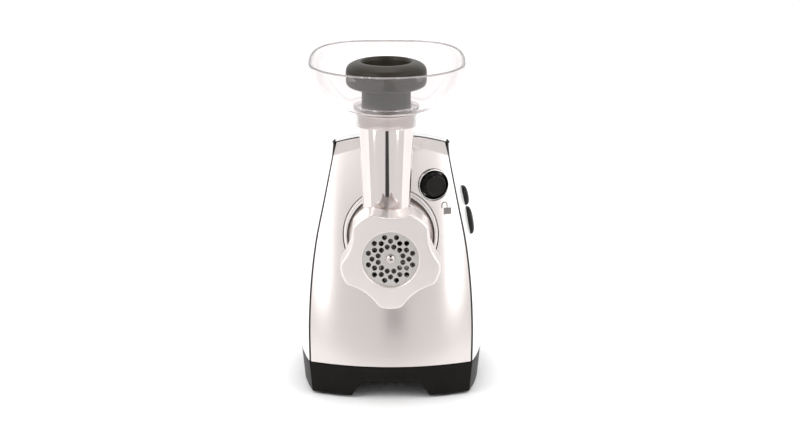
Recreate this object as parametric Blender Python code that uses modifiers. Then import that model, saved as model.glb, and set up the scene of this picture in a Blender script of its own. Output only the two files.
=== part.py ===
"""Electric meat grinder, free standing, with its mincing head fitted.

Metres, +Z up.  The grinder stands on z = 0, faces -Y, and +X is on the right of
someone who looks at its front.  The barrel, the worm and the gear train's output
share one axis along Y.
"""
import math

import bmesh
import bpy
from mathutils import Vector

MM = 0.001
GAP = 0.3 * MM                    # clearance kept between pieces that touch
ACROSS = Vector((1.0, 0.0, 0.0))
FRONT = Vector((0.0, -1.0, 0.0))
REAR = Vector((0.0, 1.0, 0.0))
UP = Vector((0.0, 0.0, 1.0))

# Driving dimensions ------------------------------------------------------------

BARREL_Z = 160 * MM               # height of the barrel's axis
NUT_FACE_Y = -150 * MM
NUT_DEPTH = 34 * MM
NUT_LOBES = 5
NUT_MOUTH_R = 26.4 * MM
NUT_LIP = 3.4 * MM

PLATE_R = 31 * MM                 # the usual 62 mm domestic cutting plate
PLATE_THICK = 5 * MM
PLATE_HOLE_R = 2.45 * MM
HOLE_RINGS = ((21.2, 15), (17.1, 0), (11.9, 15))   # ring radius in mm, first angle
HOLES_PER_RING = 12
PIN_R = 4 * MM

CHAMBER_R = 29.5 * MM             # bore round the worm
BARREL_R = 34 * MM
FLANGE_R = 40.3 * MM
HEAD_REAR_Y = -47.2 * MM

TUBE_X = -4 * MM                  # the feed tube stands a little off the axis
TUBE_Y = -90 * MM
TUBE_MOUTH_Z = 288 * MM
TUBE_TOP_R = 26.2 * MM
TUBE_FOOT_R = 22.4 * MM
TUBE_FOOT_Z = 200 * MM
TUBE_WALL = 2 * MM

TRAY_X = -3.5 * MM
TRAY_RIM_Z = 330 * MM
TRAY_HALF_WIDTH = 73.8 * MM
TRAY_WIDEST_Y = -66 * MM
TRAY_REAR_Y = 50 * MM
TRAY_SKIN = 1.8 * MM

PUSHER_TOP_Z = 336 * MM
PUSHER_HEAD_R = 38 * MM
PUSHER_STEM_R = 23 * MM

BASE_TOP_Z = 33 * MM
PANEL_ROUND = 150 * MM            # plan radius of the front panel
PANEL_SKIN = 1.2 * MM
SHELL_SKIN = 2.2 * MM
SEAM = 1.0 * MM
SOCKET_R = 45.2 * MM

DRIVE_Y = 15 * MM                 # the drive train is laid out from this depth
GEAR_CENTRE = 49.5 * MM           # output gear to idler pinion: 1.8 mm x (43 + 12) / 2
PINION_CENTRE = 39.0 * MM         # idler wheel to motor pinion: 1.5 mm x (40 + 12) / 2
IDLER_Z = BARREL_Z - GEAR_CENTRE
MOTOR_Z = IDLER_Z - PINION_CENTRE

BUTTON_TILT = math.radians(16)    # the release button looks a little outward
BUTTON_AXIS = Vector((math.sin(BUTTON_TILT), -math.cos(BUTTON_TILT), 0.0))

# Scene, collections and materials ----------------------------------------------

for old in list(bpy.data.objects):
    bpy.data.objects.remove(old, do_unlink=True)

PARTS = bpy.data.collections.new("meat_grinder")
CUTTERS = bpy.data.collections.new("cutters")
for collection in (PARTS, CUTTERS):
    bpy.context.scene.collection.children.link(collection)

FINISHES = {                      # colour, roughness, metallic
    "white_gloss": ((0.90, 0.89, 0.88), 0.15, 0.0),
    "steel_skin": ((0.66, 0.64, 0.62), 0.30, 1.0),
    "black_plastic": ((0.020, 0.019, 0.017), 0.45, 0.0),
    "black_gloss": ((0.015, 0.015, 0.015), 0.18, 0.0),
    "grey_plastic": ((0.42, 0.40, 0.39), 0.40, 0.0),
    "olive_plastic": ((0.085, 0.078, 0.066), 0.42, 0.0),
    "clear_plastic": ((0.93, 0.92, 0.91), 0.08, 0.0),
    "rubber": ((0.10, 0.10, 0.10), 0.80, 0.0),
    "cast_aluminium": ((0.72, 0.70, 0.69), 0.28, 1.0),
    "bright_steel": ((0.60, 0.59, 0.57), 0.20, 1.0),
    "nylon": ((0.80, 0.78, 0.70), 0.50, 0.0),
    "lamination": ((0.30, 0.29, 0.28), 0.55, 1.0),
    "copper": ((0.72, 0.30, 0.13), 0.35, 1.0),
    "carbon": ((0.05, 0.05, 0.05), 0.70, 0.0),
}


def own_material(node, finish):
    """Give one node its own Principled material in a named finish."""
    colour, roughness, metallic = FINISHES[finish]
    made = bpy.data.materials.new(f"{node}_{finish}")
    made.use_nodes = True
    shader = made.node_tree.nodes["Principled BSDF"]
    shader.inputs["Base Color"].default_value = (*colour, 1.0)
    shader.inputs["Roughness"].default_value = roughness
    shader.inputs["Metallic"].default_value = metallic
    return made


# Modelling helpers ----------------------------------------------------------------

def place(name, mesh, finish=None, at=(0, 0, 0), along=UP):
    """Add a mesh as a part, or as a cutter where no finish is given.

    Its local Z is turned to lie along the direction given.
    """
    item = bpy.data.objects.new(name, mesh)
    item.location = at
    if Vector(along) != UP:
        item.rotation_euler = Vector(along).to_track_quat("Z", "Y").to_euler()
    if finish:
        PARTS.objects.link(item)
        mesh.materials.append(own_material(name, finish))
        mesh.shade_smooth()
        mesh.set_sharp_from_angle(angle=math.radians(32))
    else:
        CUTTERS.objects.link(item)
        item.hide_render = True
        item.display_type = "WIRE"
    return item


def mesh_from(build, name):
    """Make a mesh from a function that fills a bmesh."""
    shape = bmesh.new()
    build(shape)
    mesh = bpy.data.meshes.new(name)
    shape.to_mesh(mesh)
    shape.free()
    return mesh


def cylinder(name, radius, length, finish=None, at=(0, 0, 0), along=UP, end_radius=None, sides=32):
    """A cylinder or cone that starts at a point and runs along a direction."""
    far = radius if end_radius is None else end_radius

    def build(shape):
        bmesh.ops.create_cone(shape, cap_ends=True, segments=sides, radius1=radius, radius2=far,
                              depth=length)
        bmesh.ops.translate(shape, verts=shape.verts, vec=(0, 0, length / 2))

    return place(name, mesh_from(build, name), finish, at, along)


def block(name, size, finish=None, at=(0, 0, 0), along=UP):
    """A box by its three sides and its middle."""
    def build(shape):
        bmesh.ops.create_cube(shape, size=1.0)
        bmesh.ops.scale(shape, verts=shape.verts, vec=size)

    return place(name, mesh_from(build, name), finish, at, along)


def turned(name, profile, finish=None, at=(0, 0, 0), along=UP, steps=32):
    """A turned piece: (radius, height) points, down the outside, round local Z."""
    mesh = bpy.data.meshes.new(name)
    points = [(radius, 0.0, height) for radius, height in profile]
    closed = profile[0][0] > 0
    edges = [(i, i + 1) for i in range(len(points) - 1)]
    if closed:
        edges.append((len(points) - 1, 0))
    mesh.from_pydata(points, edges, [])
    item = place(name, mesh, finish, at, along)
    screw = item.modifiers.new("turn", "SCREW")
    screw.angle = math.tau
    screw.steps = steps
    screw.render_steps = steps
    screw.use_merge_vertices = True
    screw.merge_threshold = 0.00001
    screw.use_smooth_shade = True
    return item


def outline_curve(name, outlines, thickness):
    """A filled 2D curve: the first outline is the edge, the others are holes."""
    curve = bpy.data.curves.new(name, "CURVE")
    curve.dimensions = "2D"
    curve.fill_mode = "BOTH"
    curve.extrude = thickness / 2
    for outline in outlines:
        spline = curve.splines.new("POLY")
        spline.points.add(len(outline) - 1)
        for point, (x, y) in zip(spline.points, outline):
            point.co = (x, y, 0.0, 1.0)
        spline.use_cyclic_u = True
    return curve


def curve_to_mesh(name, curve):
    """Turn a curve into a welded mesh, so that it can be cut."""
    guide = bpy.data.objects.new(name, curve)
    PARTS.objects.link(guide)
    bpy.context.view_layer.update()
    evaluated = guide.evaluated_get(bpy.context.evaluated_depsgraph_get())
    mesh = bpy.data.meshes.new_from_object(evaluated)
    mesh.name = name
    shape = bmesh.new()
    shape.from_mesh(mesh)
    bmesh.ops.remove_doubles(shape, verts=shape.verts, dist=0.000005)
    shape.to_mesh(mesh)
    shape.free()
    mesh.materials.clear()
    bpy.data.objects.remove(guide, do_unlink=True)
    return mesh


def stamped(name, outlines, thickness, finish=None, at=(0, 0, 0), along=UP):
    """A flat piece of even thickness, centred on its middle plane."""
    curve = outline_curve(name, outlines, thickness)
    return place(name, curve_to_mesh(name, curve), finish, at, along)


def skin(name, surface, columns, rows, thickness, finish=None, closed=False):
    """A shell: an open grid laid on a surface, made solid towards its inside.

    surface(u, t) gives a point for u and t from 0 to 1; a closed skin meets itself
    where u wraps round.
    """
    def build(shape):
        bmesh.ops.create_grid(shape, x_segments=columns, y_segments=rows, size=0.5)
        for vert in shape.verts:
            vert.co = surface(vert.co.x + 0.5, vert.co.y + 0.5)
        if closed:
            bmesh.ops.remove_doubles(shape, verts=shape.verts, dist=0.000005)

    item = place(name, mesh_from(build, name), finish)
    solid = item.modifiers.new("thickness", "SOLIDIFY")
    solid.thickness = abs(thickness)
    solid.offset = -1.0 if thickness > 0 else 1.0
    solid.use_even_offset = True
    return item


def combine(item, other, operation="DIFFERENCE"):
    """Boolean one object with another, which stays as a guide or cutter."""
    step = item.modifiers.new(other.name, "BOOLEAN")
    step.object = other
    step.operation = operation
    step.solver = "EXACT"
    return item


def cut(item, *others):
    """Cut one or more cutters out of a piece."""
    for other in others:
        combine(item, other)
    return item


def join(item, *others):
    """Make one body of a piece and the shapes given."""
    for other in others:
        combine(item, other, "UNION")
    return item


def round_edges(item, width, segments=2, angle=40):
    """Round the sharp edges of a piece."""
    bevel = item.modifiers.new("rounding", "BEVEL")
    bevel.width = width
    bevel.segments = segments
    bevel.limit_method = "ANGLE"
    bevel.angle_limit = math.radians(angle)
    return item


def circle(radius, sides, centre=(0.0, 0.0), first=0.0):
    """Points round a circle, anticlockwise."""
    points = []
    for i in range(sides):
        angle = first + math.tau * i / sides
        points.append((centre[0] + radius * math.cos(angle), centre[1] + radius * math.sin(angle)))
    return points


def mix(first, second, share):
    """A value part of the way from one to another."""
    return first + (second - first) * share


def smooth_through(points, place_at):
    """Read a smooth curve through (place, value) points, given in millimetres."""
    at = place_at / MM
    last = len(points) - 1
    i = 0
    while i < last - 1 and at > points[i + 1][0]:
        i += 1

    def slope(k):
        low, high = max(k - 1, 0), min(k + 1, last)
        return (points[high][1] - points[low][1]) / (points[high][0] - points[low][0])

    (x0, y0), (x1, y1) = points[i], points[i + 1]
    width = x1 - x0
    t = min(max((at - x0) / width, 0.0), 1.0)
    value = (2 * t**3 - 3 * t**2 + 1) * y0 + (3 * t**2 - 2 * t**3) * y1
    value += (t**3 - 2 * t**2 + t) * width * slope(i) + (t**3 - t**2) * width * slope(i + 1)
    return value * MM


def at_y(y):
    """The point of the barrel's axis at a given depth."""
    return Vector((0.0, y, BARREL_Z))


# The casing's outer form -----------------------------------------------------------

CORNER_X = ((33, 78.8), (70, 79.2), (110, 77.3), (150, 72.6), (190, 64.6), (250, 52.8))
WIDEST_X = ((33, 88.8), (65, 88.6), (105, 84.6), (140, 79.8), (180, 72.8), (225, 61.5), (255, 53.5))
ROOF_EDGE_Z = ((-36, 232.5), (-21, 243), (5, 240), (50, 224), (110, 193))
WIDEST_Y = 30 * MM
REAR_SHARE = 0.84                 # half width at the rear corner, of the widest
REAR_CORNER_Y = 120 * MM
REAR_BULGE = 30 * MM
REAR_LEAN = 0.07
ROOF_ARCH = 8.5 * MM
CREST_ARCH = 12.5 * MM
CREST_CORNER_Z = 232.5 * MM
BAND_END_Y = -21 * MM
REAR_TOP_Z = 196 * MM


def panel_middle_y(z):
    """Depth of the front panel on the centre line: it leans back as it rises."""
    rise = z / MM - 33
    return (-73.5 + 0.04306 * rise + 0.000498 * rise * rise) * MM


def corner_x(z):
    return smooth_through(CORNER_X, z)


def corner_y(z):
    return panel_middle_y(z) + corner_x(z) ** 2 / (2 * PANEL_ROUND)


def rear_corner_y(z):
    return REAR_CORNER_Y - REAR_LEAN * (z - BASE_TOP_Z)


def side_x(y, z):
    """Half width of the casing at a depth and height."""
    widest = smooth_through(WIDEST_X, z)
    if y < WIDEST_Y:
        back = (WIDEST_Y - y) / (WIDEST_Y - corner_y(z))
        return widest - (widest - corner_x(z)) * back**2
    back = (y - WIDEST_Y) / (rear_corner_y(z) - WIDEST_Y)
    return widest - widest * (1 - REAR_SHARE) * back**2.2


def crest_z(across):
    """Height of the crease at the top of the front panel, across from -1 to 1."""
    return CREST_CORNER_Z + CREST_ARCH * (1 - across**2)


def front_point(across, z):
    x = across * corner_x(z)
    return Vector((x, panel_middle_y(z) + x * x / (2 * PANEL_ROUND), z))


def side_point(along, rise, hand):
    """A point of a side shell: along 0 front to 1 rear, rise 0 to 1, hand -1 or 1."""
    z = BASE_TOP_Z
    for _ in range(6):
        y = mix(corner_y(z), rear_corner_y(z), along)
        z = mix(BASE_TOP_Z, smooth_through(ROOF_EDGE_Z, y), rise)
    return Vector((hand * side_x(y, z), y, z))


def rear_point(across, rise):
    z = mix(BASE_TOP_Z, REAR_TOP_Z, rise)
    arch = ROOF_ARCH * (1 - across**2) * rise
    y = rear_corner_y(z)
    return Vector((across * side_x(y, z), y + REAR_BULGE * (1 - across**2), z + arch))


def roof_point(across, back):
    """A point of the roof, back from 0 at the steel band to 1 at the rear."""
    y = mix(BAND_END_Y, rear_corner_y(REAR_TOP_Z), back)
    z = smooth_through(ROOF_EDGE_Z, y)
    sweep = mix(-4 * MM, REAR_BULGE, back)
    return Vector((across * side_x(y, z), y + sweep * (1 - across**2), z + ROOF_ARCH * (1 - across**2)))


def plan_outline(z, inset=0.0, share=1.0, steps=8):
    """The casing's plan at a height, anticlockwise from the left front corner."""
    points = []
    for i in range(steps):
        points.append(front_point(-1 + 2 * i / steps, z))
    for i in range(steps):
        y = mix(corner_y(z), rear_corner_y(z), i / steps)
        points.append(Vector((side_x(y, z), y, z)))
    for i in range(steps):
        across = 1 - 2 * i / steps
        y = rear_corner_y(z)
        points.append(Vector((across * side_x(y, z), y + REAR_BULGE * (1 - across**2), z)))
    for i in range(steps):
        y = mix(rear_corner_y(z), corner_y(z), i / steps)
        points.append(Vector((-side_x(y, z), y, z)))
    middle = Vector((0.0, 35 * MM, z))
    outline = []
    for i, point in enumerate(points):
        run = points[(i + 1) % len(points)] - points[i - 1]
        outward = Vector((run.y, -run.x, 0.0)).normalized()
        moved = point - outward * inset
        outline.append(middle + (moved - middle) * share)
    return [(point.x, point.y) for point in outline]


def lofted(name, low, high, finish=None):
    """A solid between two like outlines, each given as (points, height)."""
    def build(shape):
        rings = []
        for points, z in (low, high):
            rings.append([shape.verts.new((x, y, z)) for x, y in points])
        shape.faces.new(list(reversed(rings[0])))
        shape.faces.new(rings[1])
        bmesh.ops.bridge_loops(shape, edges=[e for e in shape.edges if e.is_boundary])
        bmesh.ops.recalc_face_normals(shape, faces=shape.faces)

    return place(name, mesh_from(build, name), finish)


# Base and feet ---------------------------------------------------------------------

BASE_LOW_Z = 2 * MM
BASE_TAPER = 0.965
BASE_FLOOR_Z = 18.5 * MM
BASE_FLOOR = 2.5 * MM
BASE_WALL = 3 * MM
FOOT_R = 9 * MM
FOOT_HEIGHT = 3.6 * MM
FOOT_SPOTS = {
    "front_left": (-50 * MM, -46 * MM),
    "front_right": (50 * MM, -46 * MM),
    "rear_left": (-50 * MM, 108 * MM),
    "rear_right": (50 * MM, 108 * MM),
}
ARCH = ((-38, -9), (-38, 1.5), (-34, 9), (-29, 15.2), (-22, 17.3), (22, 17.3), (29, 15.2), (34, 9),
        (38, 1.5), (38, -9))


def make_base():
    """The black tray that the casing stands in, arched in front and behind."""
    top = (plan_outline(BASE_TOP_Z), BASE_TOP_Z - GAP)
    foot = (plan_outline(BASE_TOP_Z, share=BASE_TAPER), BASE_LOW_Z)
    base = lofted("base_tray", foot, top, "black_plastic")
    inner = plan_outline(BASE_TOP_Z, inset=BASE_WALL, share=BASE_TAPER)
    pocket = lofted("cut_base_top", (inner, BASE_FLOOR_Z + BASE_FLOOR), (inner, BASE_TOP_Z + 5 * MM))
    hollow = lofted("cut_base_under", (inner, -5 * MM), (inner, BASE_FLOOR_Z))
    arch = [(x * MM, z * MM) for x, z in ARCH]
    arches = stamped("cut_base_arches", [arch], 400 * MM, None, (0, 35 * MM, 0), FRONT)
    cut(base, pocket, hollow, arches)
    for spot, (x, y) in FOOT_SPOTS.items():
        post = cylinder(f"add_post_{spot}", 8 * MM, BASE_FLOOR_Z + 1 * MM - FOOT_HEIGHT - GAP, None,
                        (x, y, FOOT_HEIGHT + GAP), sides=20)
        join(base, post)
        foot_profile = [(0, FOOT_HEIGHT), (7.6 * MM, FOOT_HEIGHT), (FOOT_R, 2.8 * MM), (FOOT_R, 0.6 * MM),
                        (8.4 * MM, 0), (0, 0)]
        turned(f"foot_{spot}", foot_profile, "rubber", (x, y, 0), steps=14)
    return base


# Casing shells ------------------------------------------------------------------------

DISH_R = 14.8 * MM
DISH_SPOT = Vector((41 * MM, -45.9 * MM, 207.1 * MM))
BUTTON_R = 12.1 * MM
SIDE_BUTTONS = {                  # height of the middle, half height, half width
    "reverse_button": (185 * MM, 10 * MM, 7.5 * MM),
    "power_button": (160 * MM, 14 * MM, 9 * MM),
}
SIDE_BUTTON_Y = 4 * MM
SIDE_BUTTON_PROUD = 4.5 * MM
SIDE_BUTTON_TRAVEL = 3 * MM
VENTS = 8
VENT_PITCH = 8.7 * MM
INLET_Z = 66 * MM
INLET_FACE_Y = 149.9 * MM


def seam_share(u, length):
    """Shorten a run from 0 to 1 by half a seam at each end."""
    return mix(SEAM / length, 1.0 - SEAM / length, u)


def panel_surface(u, t, outward=0.0):
    """The steel skin: the leaning front up to its crease, then the band above it."""
    across = mix(-0.981, 0.981, u)
    rows_up = t * 10
    if rows_up <= 8:
        z = mix(BASE_TOP_Z + 0.4 * MM, crest_z(across), rows_up / 8)
        point = front_point(across, z)
    else:
        crest = front_point(across, crest_z(across))
        point = crest.lerp(roof_point(0.962 * across, 0.0), (rows_up - 8) / 2 * 0.96)
    return point + FRONT * outward


def side_surface(u, t, hand):
    """One white side shell, from the front seam to the rear seam."""
    along = seam_share(u if hand > 0 else 1 - u, 150 * MM)
    rise = mix(0.002, 0.988, t)
    return side_point(along, rise, hand)


def roof_surface(u, t):
    return roof_point(mix(-0.966, 0.966, u), mix(0.012, 0.985, t))


def rear_surface(u, t):
    return rear_point(mix(0.975, -0.975, u), mix(0.002, 0.985, t))


def side_normal(y, z):
    """The right shell's outward direction at a depth and height."""
    step = 1 * MM
    along_y = Vector((side_x(y + step, z) - side_x(y - step, z), 2 * step, 0.0))
    along_z = Vector((side_x(y, z + step) - side_x(y, z - step), 0.0, 2 * step))
    return along_y.cross(along_z).normalized()


def oval(name, half_width, half_height, length, finish, at, along, dome=0.0):
    """An upright oval plug along a direction, its far end drawn in to a dome."""
    def build(shape):
        rings = []
        for share, height in ((1.0, 0.0), (1.0, length - dome), (0.8, length - 0.35 * dome),
                              (0.45, length)):
            if dome == 0.0 and share < 1.0:
                continue
            height = length if dome == 0.0 and height else height
            rings.append([shape.verts.new((share * half_width * math.cos(a),
                                           share * half_height * math.sin(a), height))
                          for a in (math.tau * i / 24 for i in range(24))])
        for low, high in zip(rings, rings[1:]):
            for i in range(24):
                shape.faces.new((low[i - 1], low[i], high[i], high[i - 1]))
        shape.faces.new(list(reversed(rings[0])))
        shape.faces.new(rings[-1])

    return place(name, mesh_from(build, name), finish, at, along)


def make_shells():
    """Steel front skin, two white side shells, white roof and vented rear."""
    panel = skin("front_panel", panel_surface, 12, 10, PANEL_SKIN, "steel_skin")
    socket_hole = cylinder("cut_socket_hole", SOCKET_R + 0.9 * MM, 60 * MM, None, at_y(-30 * MM), FRONT,
                           sides=36)
    dish_hole = cylinder("cut_dish_hole", DISH_R + 0.4 * MM, 40 * MM, None,
                         DISH_SPOT - BUTTON_AXIS * 20 * MM,
                         BUTTON_AXIS, sides=32)
    cut(panel, socket_hole, dish_hole)
    skin("left_shell", lambda u, t: side_surface(u, t, -1), 8, 7, SHELL_SKIN, "white_gloss")
    right = skin("right_shell", lambda u, t: side_surface(u, t, 1), 8, 7, SHELL_SKIN, "white_gloss")
    for name, (z, half_height, half_width) in SIDE_BUTTONS.items():
        spot = Vector((side_x(SIDE_BUTTON_Y, z), SIDE_BUTTON_Y, z))
        outward = side_normal(SIDE_BUTTON_Y, z)
        hole = oval(f"cut_{name}", half_width + 0.5 * MM, half_height + 0.5 * MM, 20 * MM, None,
                    spot - outward * 10 * MM, outward)
        cut(right, hole)
        length = SIDE_BUTTON_PROUD + 6 * MM
        oval(name, half_width, half_height, length, "black_gloss", spot - outward * 6 * MM, outward,
             dome=SIDE_BUTTON_PROUD)
    skin("top_cover", roof_surface, 8, 7, SHELL_SKIN, "white_gloss")
    rear = skin("rear_cover", rear_surface, 8, 7, SHELL_SKIN, "white_gloss")
    for i in range(VENTS):
        x = VENT_PITCH * (i - (VENTS - 1) / 2) + 0.4 * MM
        vent = block(f"cut_vent_{i}", (3.4 * MM, 60 * MM, 46 * MM), None, (x, 140 * MM, 128.6 * MM))
        cut(rear, vent)
    inlet_hole = cylinder("cut_inlet_hole", 7.4 * MM, 60 * MM, None, (0, 110 * MM, INLET_Z), REAR, sides=16)
    cut(rear, inlet_hole)
    inlet = [(9.5 * MM, 0), (9.5 * MM, -1.2 * MM), (7 * MM, -1.2 * MM), (7 * MM, -7 * MM),
             (4 * MM, -7 * MM),
             (4 * MM, 0)]
    turned("cord_inlet", inlet, "rubber", (0, INLET_FACE_Y, INLET_Z), REAR, 16)


def make_socket():
    """The well that the mincing head is turned into, its rim flush with the steel."""
    profile = [(SOCKET_R, 78 * MM), (SOCKET_R, 42 * MM), (15.5 * MM, 42 * MM), (15.5 * MM, 46.4 * MM),
               (40.9 * MM, 46.4 * MM), (42.3 * MM, 60 * MM), (43.2 * MM, 78 * MM)]
    socket = turned("head_socket", profile, "grey_plastic", (0, 0, BARREL_Z), FRONT, 32)
    trim = skin("cut_socket_front", lambda u, t: panel_surface(u, t * 0.8, outward=-0.5 * MM), 12, 8,
                -30 * MM)
    pin_hole = cylinder("cut_bolt_hole", BOLT_HOLE_R, 12 * MM, None,
                        Vector((BOLT_SPOT.x, -50 * MM, BOLT_SPOT.z)), REAR, sides=16)
    cut(socket, trim, pin_hole)


# Release button, its dish and the bolt that it draws ------------------------------

BOLT_SPOT = Vector((23 * MM, 0.0, 186 * MM))
BOLT_R = 2.6 * MM
BOLT_HOLE_R = 5 * MM
BUTTON_PROUD = 8 * MM
STEM_DEEP = 9.2 * MM
CHAMBER_REAR = -58 * MM


def make_release():
    """A domed black button in a bright dish, with the lock bolt on its stem."""
    dish = [(DISH_R, 1.2 * MM), (DISH_R, -8.4 * MM), (6.3 * MM, -8.4 * MM), (6.3 * MM, -7.2 * MM),
            (BUTTON_R + 0.8 * MM, -7.2 * MM), (BUTTON_R + 1.3 * MM, -1.5 * MM), (14.1 * MM, 1.2 * MM)]
    turned("button_dish", dish, "cast_aluminium", DISH_SPOT, BUTTON_AXIS, 24)
    button = [(0, BUTTON_PROUD - 0.8 * MM), (8.2 * MM, BUTTON_PROUD - 0.6 * MM), (9.2 * MM, BUTTON_PROUD),
              (9.9 * MM, BUTTON_PROUD - 0.6 * MM), (10.2 * MM, 2.6 * MM), (11.8 * MM, 1.4 * MM),
              (BUTTON_R, 0.4 * MM), (BUTTON_R, -1.6 * MM), (5.8 * MM, -1.6 * MM), (5.8 * MM, -STEM_DEEP),
              (0, -STEM_DEEP)]
    turned("release_button", button, "black_gloss", DISH_SPOT, BUTTON_AXIS, 24)
    stem_end = DISH_SPOT - BUTTON_AXIS * STEM_DEEP
    arm_y = stem_end.y + 3.6 * MM
    arm = [(stem_end.x, stem_end.z), (BOLT_SPOT.x, BOLT_SPOT.z)]
    run = Vector((arm[1][0] - arm[0][0], 0.0, arm[1][1] - arm[0][1]))
    middle = Vector(((arm[0][0] + arm[1][0]) / 2, arm_y, (arm[0][1] + arm[1][1]) / 2))
    bolt = block("lock_bolt", (3 * MM, 9 * MM, run.length + 8 * MM), "bright_steel", middle, run)
    pin = cylinder("add_bolt_pin", BOLT_R, arm_y - CHAMBER_REAR - 6.4 * MM, None,
                   (BOLT_SPOT.x, arm_y, BOLT_SPOT.z),
                   FRONT, sides=12)
    join(bolt, pin)


# Gears and gear case -----------------------------------------------------------------

PRESSURE = math.radians(25)
BACKLASH = 0.18 * MM
OUTPUT_TEETH, OUTPUT_MODULE = 43, 1.8 * MM
IDLER_TEETH, IDLER_MODULE = 40, 1.5 * MM
PINION_TEETH = 12
OUTPUT_GEAR_Y = (-28 * MM, -17 * MM)
IDLER_WHEEL_Y = (-13 * MM, -5 * MM)
CASE_FRONT_Y, CASE_SPLIT_Y, CASE_REAR_Y = -41 * MM, -22 * MM, 2 * MM
CASE_WALL = 3 * MM
MESH_POINT = -math.pi / 2         # each pair meshes on the line joining their axes


def at_motor(y):
    """The point of the motor's axis at a depth in the drive."""
    return Vector((0.0, DRIVE_Y + y, MOTOR_Z))


def gear_outline(teeth, module, first, flank_steps):
    """Stub involute teeth, thinned by the backlash; first is one tooth's angle."""
    pitch_r = module * teeth / 2
    base_r = pitch_r * math.cos(PRESSURE)
    tip_r = pitch_r + 0.8 * module
    root_r = pitch_r - 1.05 * module
    half = math.pi / (2 * teeth) - BACKLASH / (2 * pitch_r) + math.tan(PRESSURE) - PRESSURE
    start_r = max(base_r, root_r)
    flank = [(root_r, half)] if root_r < base_r else []
    for i in range(flank_steps + 1):
        radius = mix(start_r, tip_r, i / flank_steps)
        roll = math.acos(min(1.0, base_r / radius))
        flank.append((radius, half - (math.tan(roll) - roll)))
    points = []
    for tooth in range(teeth):
        middle = first + math.tau * tooth / teeth
        for radius, angle in flank:
            points.append((radius * math.cos(middle - angle), radius * math.sin(middle - angle)))
        for radius, angle in reversed(flank):
            points.append((radius * math.cos(middle + angle), radius * math.sin(middle + angle)))
    return points


def hull(name, circles, low, high, finish=None):
    """A solid wrapped round circles (radius, height), between two depths in the drive."""
    def build(shape):
        for radius, z in circles:
            for x, rise in circle(radius, 28):
                for y in (low, high):
                    shape.verts.new((x, DRIVE_Y + y, z + rise))
        bmesh.ops.convex_hull(shape, input=shape.verts)
        spare = [v for v in shape.verts if not v.link_faces]
        bmesh.ops.delete(shape, geom=spare, context="VERTS")
        bmesh.ops.dissolve_limit(shape, angle_limit=0.001, verts=shape.verts, edges=shape.edges)
        bmesh.ops.recalc_face_normals(shape, faces=shape.faces)

    return place(name, mesh_from(build, name), finish)


def make_gear_train():
    """Two-stage reduction from the motor's pinion to the output gear."""
    low, high = OUTPUT_GEAR_Y
    middle = at_y(DRIVE_Y + (low + high) / 2)
    output = stamped("output_gear", [gear_outline(OUTPUT_TEETH, OUTPUT_MODULE, MESH_POINT, 1)], high - low,
                     "nylon", middle, FRONT)
    output_shaft = [(0, 59 * MM), (14 * MM, 59 * MM), (14 * MM, 31 * MM), (12 * MM, 31 * MM),
                    (12 * MM, 15.5 * MM),
                    (7 * MM, 15.5 * MM), (7 * MM, 2.5 * MM), (0, 2.5 * MM)]
    shaft = turned("add_output_shaft", output_shaft, None, (0, DRIVE_Y, BARREL_Z), FRONT, 16)
    drive_socket = cylinder("cut_drive_socket", 9.2 * MM, 14 * MM, None, at_y(-34 * MM), FRONT, sides=6)
    join(output, shaft)
    cut(output, drive_socket)

    wheel_low, wheel_high = IDLER_WHEEL_Y
    centre = Vector((0, DRIVE_Y + (wheel_low + wheel_high) / 2, IDLER_Z))
    idler = stamped("idler_gear", [gear_outline(IDLER_TEETH, IDLER_MODULE, MESH_POINT, 1)],
                    wheel_high - wheel_low,
                    "nylon", centre, FRONT)
    half_tooth = math.pi / PINION_TEETH
    pinion = stamped("add_idler_pinion", [gear_outline(PINION_TEETH, OUTPUT_MODULE,
                                                       half_tooth - MESH_POINT, 2)],
                     18 * MM, None, (0, DRIVE_Y - 20 * MM, IDLER_Z), FRONT)
    bore = cylinder("cut_idler_bore", 4.3 * MM, 60 * MM, None, (0, DRIVE_Y - 45 * MM, IDLER_Z), REAR,
                    sides=12)
    cut(join(idler, pinion), bore)
    axle = [(0, 38.5 * MM), (4 * MM, 38.5 * MM), (4 * MM, 1 * MM), (0, 1 * MM)]
    turned("idler_axle", axle, "bright_steel", (0, DRIVE_Y, IDLER_Z), FRONT, 12)


def make_gear_case():
    """Two shells round the gears, with bushes for the output shaft."""
    outer = ((46.5 * MM, BARREL_Z), (37.5 * MM, IDLER_Z), (14 * MM, MOTOR_Z))
    inner = tuple((radius - CASE_WALL, z) for radius, z in outer)
    front = hull("gear_case_front", outer, CASE_FRONT_Y, CASE_SPLIT_Y - GAP, "cast_aluminium")
    cut(front, hull("cut_case_front", inner, CASE_FRONT_Y + CASE_WALL, CASE_SPLIT_Y + 5 * MM))
    rear = hull("gear_case_rear", outer, CASE_SPLIT_Y, CASE_REAR_Y, "cast_aluminium")
    cut(rear, hull("cut_case_rear", inner, CASE_SPLIT_Y - 5 * MM, CASE_REAR_Y - CASE_WALL))
    bush_hole = cylinder("cut_case_bush", 15.3 * MM, 20 * MM, None, at_y(DRIVE_Y - 50 * MM), REAR, sides=24)
    axle_hole = cylinder("cut_case_axle", 4.3 * MM, 70 * MM, None,
                         (0, DRIVE_Y - 42 * MM + CASE_WALL / 2, IDLER_Z),
                         REAR, sides=12)
    cut(front, bush_hole, axle_hole)
    shaft_hole = cylinder("cut_case_shaft", 8.5 * MM, 20 * MM, None, at_motor(-8 * MM), REAR, sides=16)
    stub_hole = cylinder("cut_case_stub", 7.4 * MM, 20 * MM, None, at_y(DRIVE_Y - 8 * MM), REAR, sides=16)
    cut(rear, shaft_hole, stub_hole)
    bush = [(15 * MM, 41.4 * MM), (15 * MM, 37.6 * MM), (14.35 * MM, 37.6 * MM), (14.35 * MM, 41.4 * MM)]
    turned("output_bush", bush, "bright_steel", (0, DRIVE_Y, BARREL_Z), FRONT, 24)


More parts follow.
